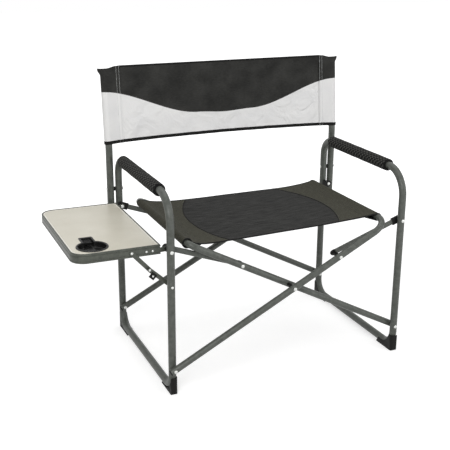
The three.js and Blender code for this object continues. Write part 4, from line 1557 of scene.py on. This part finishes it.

# A raised bead round the board, in the paler laminate: a painted highlight along the edge.
bead = around_table("table_edge_bead", [
    (5.5, BOARD_TOP - 0.4), (5.5, BOARD_TOP + 0.3), (6.2, BOARD_TOP + 0.6),
    (8.2, BOARD_TOP + 0.5), (9.4, BOARD_TOP + 0.05), (9.4, BOARD_TOP - 0.4),
])
set_on(finish_piece(bead, bead_highlight_finish), "table")
plastic_piece(cup_holder(), "table", "cup_holder", finish=glossy_nylon, crease=45)

for i in range(4):
    rib_y = CUP_Y + 50 + 8.5 * i

    def on_rib(a, b, depth, rib_y=rib_y):
        return Vector((CUP_X + a, rib_y + b, depth))

    plastic_piece(plate(f"slot_rib_{i + 1}", bar_outline(-13, 13, 2.4), on_rib,
                        BOARD_TOP - 10, BOARD_TOP - 2.5), "table", finish=glossy_nylon)


def strap_outline():
    """A plate that runs inside the rim and ends in an eye on the table's pivot."""
    low, high = RIM_BOTTOM + 1, BOARD_TOP - 9.6
    outline = [(-HALF_SPAN - 86, high), (-HALF_SPAN - 86, low)]
    outline += arc(-HALF_SPAN, LINK_PIVOT, 9, -90, 90, 16)
    outline += [(TABLE_IN, high)]
    return outline


def brace_bar(name, start, elbow, faces):
    """A brace from its outer rivet to the elbow, with what places a point on it."""
    along = Vector((elbow.x - start.x, 0, elbow.z - start.z))
    length = along.length
    along.normalize()
    across = Vector((-along.z, 0, along.x))

    def on_brace(a, b, depth):
        flat = start + along * a + across * b
        return Vector((flat.x, depth, flat.z))

    bar = plate(name, bar_outline(-7, length + 7, 14), on_brace, *faces, bevel=0.8)
    return bar, on_brace, along, across


for end, (post_y, sense) in ENDS.items():
    way = INWARD * sense

    def layer(depths, post_y=post_y, sense=sense):
        """Y of a layer's two faces, from its depths inwards of the post."""
        return [post_y + sense * depth for depth in depths]

    def at_post(x, z, post_y=post_y):
        return Vector((x, post_y, z))

    strap = plate(f"{end}_strap", strap_outline(), upright, *layer(STRAP), bevel=0.4)
    steel_piece(strap, "table", f"table_strap_{end}", finish=coated_rim)

    foot = centre(f"brace_post_rivet_{end}")
    elbow = centre(f"brace_elbow_rivet_{end}")
    rim_end = centre(f"brace_rim_rivet_{end}")
    for kind, start, depths in (("lower", foot, LOWER_BRACE), ("upper", rim_end, UPPER_BRACE)):
        bar, on_brace, along, across = brace_bar(
            f"{end}_{kind}_brace", start, elbow, layer(depths))
        body = f"brace_{'low' if kind == 'lower' else 'up'}_{end}"
        steel_piece(bar, body, f"brace_{kind}_{end}", finish=coated_rim)
        if kind == "lower":
            stop = centre(f"brace_stop_{end}")
            way_to_stop = stop - start
            way_to_stop.y = 0
            stop_along, stop_across = way_to_stop.dot(along), way_to_stop.dot(across)
            half = 9.5
            outline = [(stop_along + a * half, stop_across + b * half)
                       for a, b in ((-1, -1), (1, -1), (1, 1), (-1, 1))]
            block = plate(f"{end}_stop", outline, on_brace, *layer(STOP), bevel=1.2, segments=3)
            plastic_piece(block, body, f"brace_stop_{end}")
            fasten(body, None, at_post(stop.x, stop.z), way,
                   [("head_out", 3.4, STOP[0] - 1.5, STOP[0] + 0.1)])

    lower_start, lower_end = LOWER_BRACE[0] - PLAY, LOWER_BRACE[1] + PLAY
    upper_start = UPPER_BRACE[0] - PLAY
    fasten("left_side", f"brace_post_rivet_{end}", at_post(foot.x, foot.z), way, [
        near_head(-POST_FACE, RIVET_HEAD),
        ("bar", RIVET, -POST_FACE, POST_FACE),
        ("spacer", RIVET_SPACER, POST_FACE, lower_start),
        ("bar", RIVET, lower_start, LOWER_BRACE[1])])
    fasten(f"brace_low_{end}", f"brace_elbow_rivet_{end}", at_post(elbow.x, elbow.z), way, [
        near_head(lower_start, RIVET_HEAD),
        ("bar", RIVET, lower_start, lower_end),
        ("spacer", RIVET_SPACER, lower_end, upper_start)])
    fasten("table", f"brace_rim_rivet_{end}", at_post(rim_end.x, rim_end.z), way, [
        near_head(upper_start, RIVET_HEAD),
        ("bar", RIVET, upper_start, STRAP[0]),
        far_head(STRAP[0], RIVET_HEAD)])
    for reach in (66, 46):
        fasten("table", None, at_post(-HALF_SPAN - reach, LINK_PIVOT - 2), way,
               [("head_out", 3.8, RIM_FACE - 1.6, RIM_FACE + 0.1)])

for body in bodies:
    if metal_kits[body].points:
        metal_kits[body].make(f"{body}_bolts", zinc, "zinc_steel", body, *bolted_nodes[body])
    if spacer_kits[body].points:
        spacer_kits[body].make(f"{body}_spacers", nylon, "black_plastic", body)

# ------------------------------------------------------------------ cloth helpers


def woven_sheet(name, rows, thickness, chart=None):
    """A cloth from rows of points. chart gives each point's place on the flat cloth, in mm."""
    wide = len(rows[0])
    points = [point for row in rows for point in row]
    faces = [
        (i * wide + j, i * wide + j + 1, (i + 1) * wide + j + 1, (i + 1) * wide + j)
        for i in range(len(rows) - 1)
        for j in range(wide - 1)
    ]
    mesh = plain_mesh(name, points, faces=faces)
    if chart:
        layer = mesh.uv_layers.new(name="chart")
        flat = [place for row in chart for place in row]
        for loop in mesh.loops:
            u, v = flat[loop.vertex_index]
            layer.data[loop.index].uv = (u * MM, v * MM)
    thing = new_object(name, mesh)
    thick = thing.modifiers.new("thickness", "SOLIDIFY")
    thick.thickness = thickness
    thick.offset = 0
    return bake(thing)


def binding(name, edge, width, wall, half_cloth):
    """Tape folded over a cloth's edge. edge is a list of (point, way into the cloth, normal)."""
    half = half_cloth + wall / 2 + 0.1
    fold = [(width, half), (width * 0.5, half + 0.1), (0.6, half), (-0.3, half * 0.75),
            (-0.8, 0), (-0.3, -half * 0.75), (0.6, -half), (width * 0.5, -half - 0.1),
            (width, -half)]
    return woven_sheet(name, [
        [point + inward * into + normal * out for into, out in fold]
        for point, inward, normal in edge
    ], wall)


def edge_of(points, inward):
    """The edge for a binding along points. inward is the way into the cloth."""
    edge = []
    for i, point in enumerate(points):
        before, after = points[max(0, i - 1)], points[min(len(points) - 1, i + 1)]
        normal = (after - before).normalized().cross(inward).normalized()
        edge.append((point, inward, normal))
    return edge


def straight(start, end, steps):
    """Points of a straight run in a section, without its end."""
    shares = [i / steps for i in range(steps)]
    return [(start[0] + (end[0] - start[0]) * t, start[1] + (end[1] - start[1]) * t)
            for t in shares]


def distances_along(points):
    """How far along a section each of its points lies."""
    distances = [0.0]
    for (x0, y0), (x1, y1) in zip(points, points[1:]):
        distances.append(distances[-1] + math.hypot(x1 - x0, y1 - y0))
    return distances


# ------------------------------------------------------------------ seat


def seat_sag(x, depth):
    """The sheet hangs least at its hems, which are taped, and more on the table's side."""
    share = depth / SEAT_DEPTH
    return 18.0 + 2.0 * math.sin(math.pi * share) ** 0.8 - (11.0 - 8.0 * share) * x / RAIL_X


def seat_pull(x, depth):
    """How suddenly the sheet falls away beside a rail. It does so most at the front left."""
    return 6 + 5 * (1 - depth / SEAT_DEPTH) * smooth_step(-x, 0, 200)


def seat_height(x, depth):
    ripple = 0.9 * noise.noise(Vector((x / 110, depth / 45, 0.7)))
    held = max(0.0, 1 - abs(x / RAIL_X) ** seat_pull(x, depth))
    return RAIL_Z + SLEEVE - (seat_sag(x, depth) - ripple) * held


def seat_section(depth, sign):
    """The seat's line on one side, from its flap's end round the rail to its top, as (x, z)
    with x positive. One end of each sleeve follows the rail a little into its far bend."""
    bend_start = RAIL_FAR_BEND + LEG_OFFSET
    past = max(0.0, bend_start - (SEAT_FRONT + (depth if sign < 0 else SEAT_DEPTH - depth)))
    drift = past**2 / (2 * RAIL_FAR_BEND)
    rail_x = RAIL_X - drift * math.cos(LEG_ANGLE)
    rail_z = RAIL_Z - drift * math.sin(LEG_ANGLE)
    sleeve = SLEEVE + 0.16 * past
    edge_x = sign * RAIL_X
    slope = math.atan(seat_pull(edge_x, depth) * seat_sag(edge_x, depth) / RAIL_X)
    flap_x = RAIL_X - FLAP_REACH
    flap_z = seat_height(sign * flap_x, depth) - CLOTH - 0.5
    from_rail = Vector((flap_x - rail_x, flap_z - rail_z))
    lean = math.atan2(from_rail.y, -from_rail.x)
    turn = math.acos(sleeve / from_rail.length)
    start = lean - turn
    tangent = Vector((rail_x - sleeve * math.cos(start), rail_z + sleeve * math.sin(start)))
    half = straight((flap_x, flap_z), tangent, 7)
    stop = math.pi / 2 - slope
    swing = start + 2 * math.pi - stop
    arc_steps = 18
    for i in range(arc_steps + 1):
        t = start - swing * i / arc_steps
        half.append((rail_x - sleeve * math.cos(t), rail_z + sleeve * math.sin(t)))
    return half


def seat_row(depth):
    left, right = seat_section(depth, -1), seat_section(depth, 1)
    start, end = -left[-1][0], right[-1][0]
    count = 100
    across = [start + (end - start) * i / count for i in range(1, count)]
    middle = [(x, seat_height(x, depth)) for x in across]
    outline = [(-x, z) for x, z in left] + middle + list(reversed(right))
    distances = distances_along(outline)
    y = SEAT_FRONT + depth
    points = [Vector((x, y, z)) for x, z in outline]
    chart = [(distance - distances[-1] / 2, y) for distance in distances]
    return points, chart, distances[-1]


seat_rows = [seat_row(SEAT_DEPTH * i / 56) for i in range(57)]
seat = woven_sheet("seat_canvas", [row for row, _, _ in seat_rows], CLOTH,
                   [chart for _, chart, _ in seat_rows])
finish_piece(seat, seat_cloth, crease=70)


def on_seat(x, y, rise):
    """A point above the seat's top face."""
    return Vector((x, y, seat_height(x, y - SEAT_FRONT) + CLOTH / 2 + rise))


def panel_edge(sign, rise, aside=0.0):
    """The middle panel's sewn edge on one side, from the front hem to the rear hem."""
    points = []
    for i in range(61):
        y = SEAT_FRONT + SEAT_DEPTH * i / 60
        x = sign * (PANEL_REACH + aside - PANEL_BOW * (y - PANEL_MIDDLE) ** 2)
        points.append(on_seat(x, y, rise))
    return points


seat_parts = []
for edge_name, depth, inward_sign in (("front", 0.0, 1), ("rear", SEAT_DEPTH, -1)):
    edge = edge_of(seat_row(depth)[0], Vector((0, inward_sign, 0)))
    hem = binding(f"seat_{edge_name}_hem", edge, 5.0, 0.8, CLOTH / 2)
    seat_parts.append(tape_piece(hem))
for side, sign in SIDES.items():
    piping = tube(f"seat_{side}_piping", 1.3,
                  [(point, 0) for point in panel_edge(sign, 0.2)], tape, sides=8, steps=1)
    seat_parts.append(tape_piece(piping))
seam_rows = [panel_edge(sign, 0.3, aside=4.0) for sign in (-1, 1)]
sleeve_seams = [
    [on_seat(sign * (RAIL_X - FLAP_REACH + 4), SEAT_FRONT + SEAT_DEPTH * i / 40, 0.3)
     for i in range(41)]
    for sign in (-1, 1)
]
seat_stitches = stitches("seat_stitches", seam_rows + sleeve_seams, dark_thread)
seat_parts.append(finish_piece(seat_stitches, dark_thread, crease=180))

for thing in [seat] + seat_parts:
    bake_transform(thing)
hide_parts("seat_fabric")

# ------------------------------------------------------------------ back

PIN = 1.5  # each pocket layer's distance from the middle of the seam
LEAN_WAY = Vector((0, math.sin(LEAN), math.cos(LEAN)))
FRONT_WAY = Vector((0, -math.cos(LEAN), math.sin(LEAN)))


def on_back(x, height, out):
    """A point on the back's leaning plane, out in front of the poles' axes."""
    foot = Vector((x, DEPTH + (height - LEAN_START) * math.tan(LEAN), height))
    return foot + FRONT_WAY * out


def back_bottom(x):
    return BACK_LOW + BACK_RISE * (1 - min(1.0, abs(x) / (POLE_X + 14)) ** 2)


def back_top(x):
    """Level between the seams, then falling to the pockets' ears."""
    return BACK_TOP - 7 * smooth_step(abs(x), 404, 440) + 1.5 * smooth_step(abs(x), 458, 474)


def pocket_section():
    """Half of a pocket's section from its seam to its outermost point, as (x, out, flat x).
    It lies round the pole, and flat x is the same point's place in the flattened cloth."""
    out_x, out_y = SEAM_OUT - POLE_X, PIN
    reach = math.hypot(out_x, out_y)
    lean = math.atan2(out_y, out_x)
    stop = lean - math.acos(POCKET / reach)
    touch = (POLE_X + POCKET * math.cos(stop), POCKET * math.sin(stop))
    points = straight((SEAM_IN, PIN), (SEAM_OUT, PIN), 5)
    points += straight((SEAM_OUT, PIN), touch, 8)
    points += arc(POLE_X, 0, POCKET, math.degrees(stop), 0, 14)
    return [(x, out, SEAM_IN + d) for (x, out), d in zip(points, distances_along(points))]


def pocket_row(sign, share):
    """One line round a pocket, from its rear seam round the pole to its front seam."""
    row = []
    chart = []
    half = pocket_section()
    path = [(x, -out, flat) for x, out, flat in half]
    path += [(x, out, flat) for x, out, flat in reversed(half[:-1])]
    for x, out, flat in path:
        height = back_bottom(flat) + share * (back_top(flat) - back_bottom(flat))
        squeezed = smooth_step(height, 940, 962)
        flat_out = math.copysign(1.0, out) if flat < half[-1][2] else 0.0
        px = x + (flat - x) * squeezed
        po = out + (flat_out - out) * squeezed
        crumple = 0.5 * noise.noise(Vector((px / 18, height / 60, sign * 4.0)))
        row.append(on_back(sign * px, height, po + crumple * (1 - squeezed) * 0.6))
        chart.append((sign * flat, height))
    return row, chart


def panel_out(x, height):
    """How far the middle of the back stands from the poles' plane."""
    held = 1 - (x / PANEL_HALF) ** 2
    low = smooth_step(800 - height, 0, 90)
    slant = x + 0.5 * height
    folds = 2.6 * noise.noise(Vector((slant / 55, height / 150, 2.4)))
    folds += 2.3 * noise.noise(Vector((x / 26, height / 60, 5.4))) * low
    return (-6.0 + folds * (0.5 + 1.1 * low)) * max(0.0, held) ** 0.6


for side, sign in SIDES.items():
    rows = [pocket_row(sign, i / 60) for i in range(61)]
    pocket = woven_sheet(f"back_{side}_pocket", [row for row, _ in rows], CLOTH * 0.75,
                         [chart for _, chart in rows])
    finish_piece(pocket, back_cloth, crease=70)
    set_on(pocket, f"{side}_side")

    hem = binding(f"back_{side}_pocket_tape", edge_of(rows[0][0], LEAN_WAY), 10.5, 0.9,
                  CLOTH * 0.4)
    set_on(tape_piece(hem), f"{side}_side")

    # Two rows of stitches, with a second layer over the first ones at the lower edge.
    seams = []
    for x in (BACK_SEAM - 5, BACK_SEAM + 5):
        low, high = back_bottom(x) + 1.5, back_top(x) - 1.5
        seams.append([
            on_back(sign * x, low + (high - low) * i / 40, PIN + CLOTH * 0.4 + 0.25)
            for i in range(41)
        ])
        seams.append([on_back(sign * x, low + 8.0 * i, PIN + CLOTH * 0.4 + 1.6)
                      for i in range(2)])
    sewn = stitches(f"back_{side}_stitches", seams, pale_thread, pitch=4.6,
                    stitch=(4.0, 1.8, 1.1))
    set_on(finish_piece(sewn, pale_thread, crease=180), f"{side}_side")
    pocket_length = 2 * (pocket_section()[-1][2] - SEAM_IN)

# The panel's columns, seam to seam
ACROSS = [-PANEL_HALF + 2 * PANEL_HALF * j / 120 for j in range(121)]
panel_rows = []
panel_chart = []
for i in range(61):
    chart = [(x, back_bottom(x) + (back_top(x) - back_bottom(x)) * i / 60) for x in ACROSS]
    panel_chart.append(chart)
    panel_rows.append([on_back(x, height, panel_out(x, height)) for x, height in chart])
panel = woven_sheet("back_panel", panel_rows, CLOTH * 0.7, panel_chart)
finish_piece(panel, back_cloth, crease=70)


def panel_hem(name, height_at, inward, width):
    edge = [(on_back(x, height_at(x), panel_out(x, height_at(x))), inward, FRONT_WAY)
            for x in ACROSS]
    return tape_piece(binding(name, edge, width, 0.8, CLOTH * 0.35))


def wave_height(x):
    """The wavy seam between the two colours."""
    rise = (WAVE_HIGH - WAVE_LOW) * smooth_step(abs(x), WAVE_FROM, WAVE_TO)
    return WAVE_LOW + rise - WAVE_DIP * (1 - smooth_step(abs(x), 0, WAVE_FROM))


panel_parts = [
    panel_hem("back_panel_tape", back_bottom, LEAN_WAY, 10.5),
    panel_hem("back_panel_top_hem", back_top, -LEAN_WAY, 5.0),
]
# The seam's stitches run 3 mm above it.
wave = [(x, wave_height(x) + 3) for x in ACROSS]
wave = [on_back(x, height, panel_out(x, height) + CLOTH * 0.35 + 0.2) for x, height in wave]
wave_seam = stitches("back_wave_stitches", [wave], dark_thread)
panel_parts.append(finish_piece(wave_seam, dark_thread, crease=180))

for thing in [panel] + panel_parts:
    set_on(thing, "left_side")
    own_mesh(thing)
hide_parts("back_fabric")

# ------------------------------------------------------------------ floor and light


def rays_of(tree, *kinds):
    """1 for a ray of one of the given kinds, else 0."""
    rays = add_node(tree, "ShaderNodeLightPath").outputs
    seen = rays[kinds[0]]
    for kind in kinds[1:]:
        seen = add_node(
            tree, "ShaderNodeMath", {0: seen, 1: rays[kind]}, operation="MAXIMUM",
        ).outputs[0]
    return seen


def white_floor():
    """A pale floor that shows the chair's shadow and is lifted to white for the camera, more
    so far from the chair, where the lamps reach it less."""
    material, tree = new_material("pale_floor")
    seen = rays_of(tree, "Is Camera Ray", "Is Glossy Ray")
    place = add_node(tree, "ShaderNodeTexCoord").outputs["Object"]
    away = add_node(tree, "ShaderNodeVectorMath", {0: place}, operation="LENGTH")
    falloff = add_node(
        tree, "ShaderNodeMapRange",
        {"Value": away.outputs["Value"], "From Min": 0.8, "From Max": 2.6,
         "To Min": 0.55, "To Max": 0.9},
        interpolation_type="SMOOTHSTEP",
    )
    lift = add_node(
        tree, "ShaderNodeMath", {0: seen, 1: falloff.outputs[0]},
        operation="MULTIPLY",
    )
    matte = add_node(tree, "ShaderNodeBsdfDiffuse", {"Color": linear("d8d8d8")})
    glow = add_node(tree, "ShaderNodeEmission", {"Strength": lift.outputs[0]})
    both = add_node(tree, "ShaderNodeAddShader", {0: matte.outputs[0], 1: glow.outputs[0]})
    add_node(tree, "ShaderNodeOutputMaterial", {"Surface": both.outputs[0]})
    return material


floor_mesh = plain_mesh("floor", [(-14, -14, 0), (14, -14, 0), (14, 14, 0), (-14, 14, 0)],
                        faces=[(0, 1, 2, 3)])
floor_mesh.materials.append(white_floor())
new_object("floor", floor_mesh)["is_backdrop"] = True

world = bpy.data.worlds.new("studio")
world.use_nodes = True
sky = world.node_tree
sky.nodes.clear()
sky_seen = rays_of(sky, "Is Camera Ray", "Is Glossy Ray", "Is Transmission Ray")
sky_strength = add_node(
    sky, "ShaderNodeMapRange", {"Value": sky_seen, "To Min": 0.55, "To Max": 1.0},
)
backdrop = add_node(
    sky, "ShaderNodeBackground",
    {"Color": (1.0, 1.0, 1.0, 1.0), "Strength": sky_strength.outputs[0]},
)
add_node(sky, "ShaderNodeOutputWorld", {"Surface": backdrop.outputs[0]})
bpy.context.scene.world = world


LAMP_AIM = Vector((0.05, 0, 0.45))


def soft_lamp(name, place, size, power):
    lamp = bpy.data.lights.new(name, "AREA")
    lamp.shape = "DISK"
    lamp.size = size
    lamp.energy = power
    thing = new_object(name, lamp)
    aim = (LAMP_AIM - Vector(place)).to_track_quat("-Z", "Y")
    thing.matrix_world = Matrix.Translation(place) @ aim.to_matrix().to_4x4()


soft_lamp("key_lamp", (-1.8, -2.8, 2.6), 1.8, 66)
soft_lamp("fill_lamp", (2.4, -2.6, 1.6), 2.4, 30)
soft_lamp("top_lamp", (0.3, 0.8, 3.4), 2.6, 20)

bpy.context.scene.view_settings.view_transform = "Standard"

low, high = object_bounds()
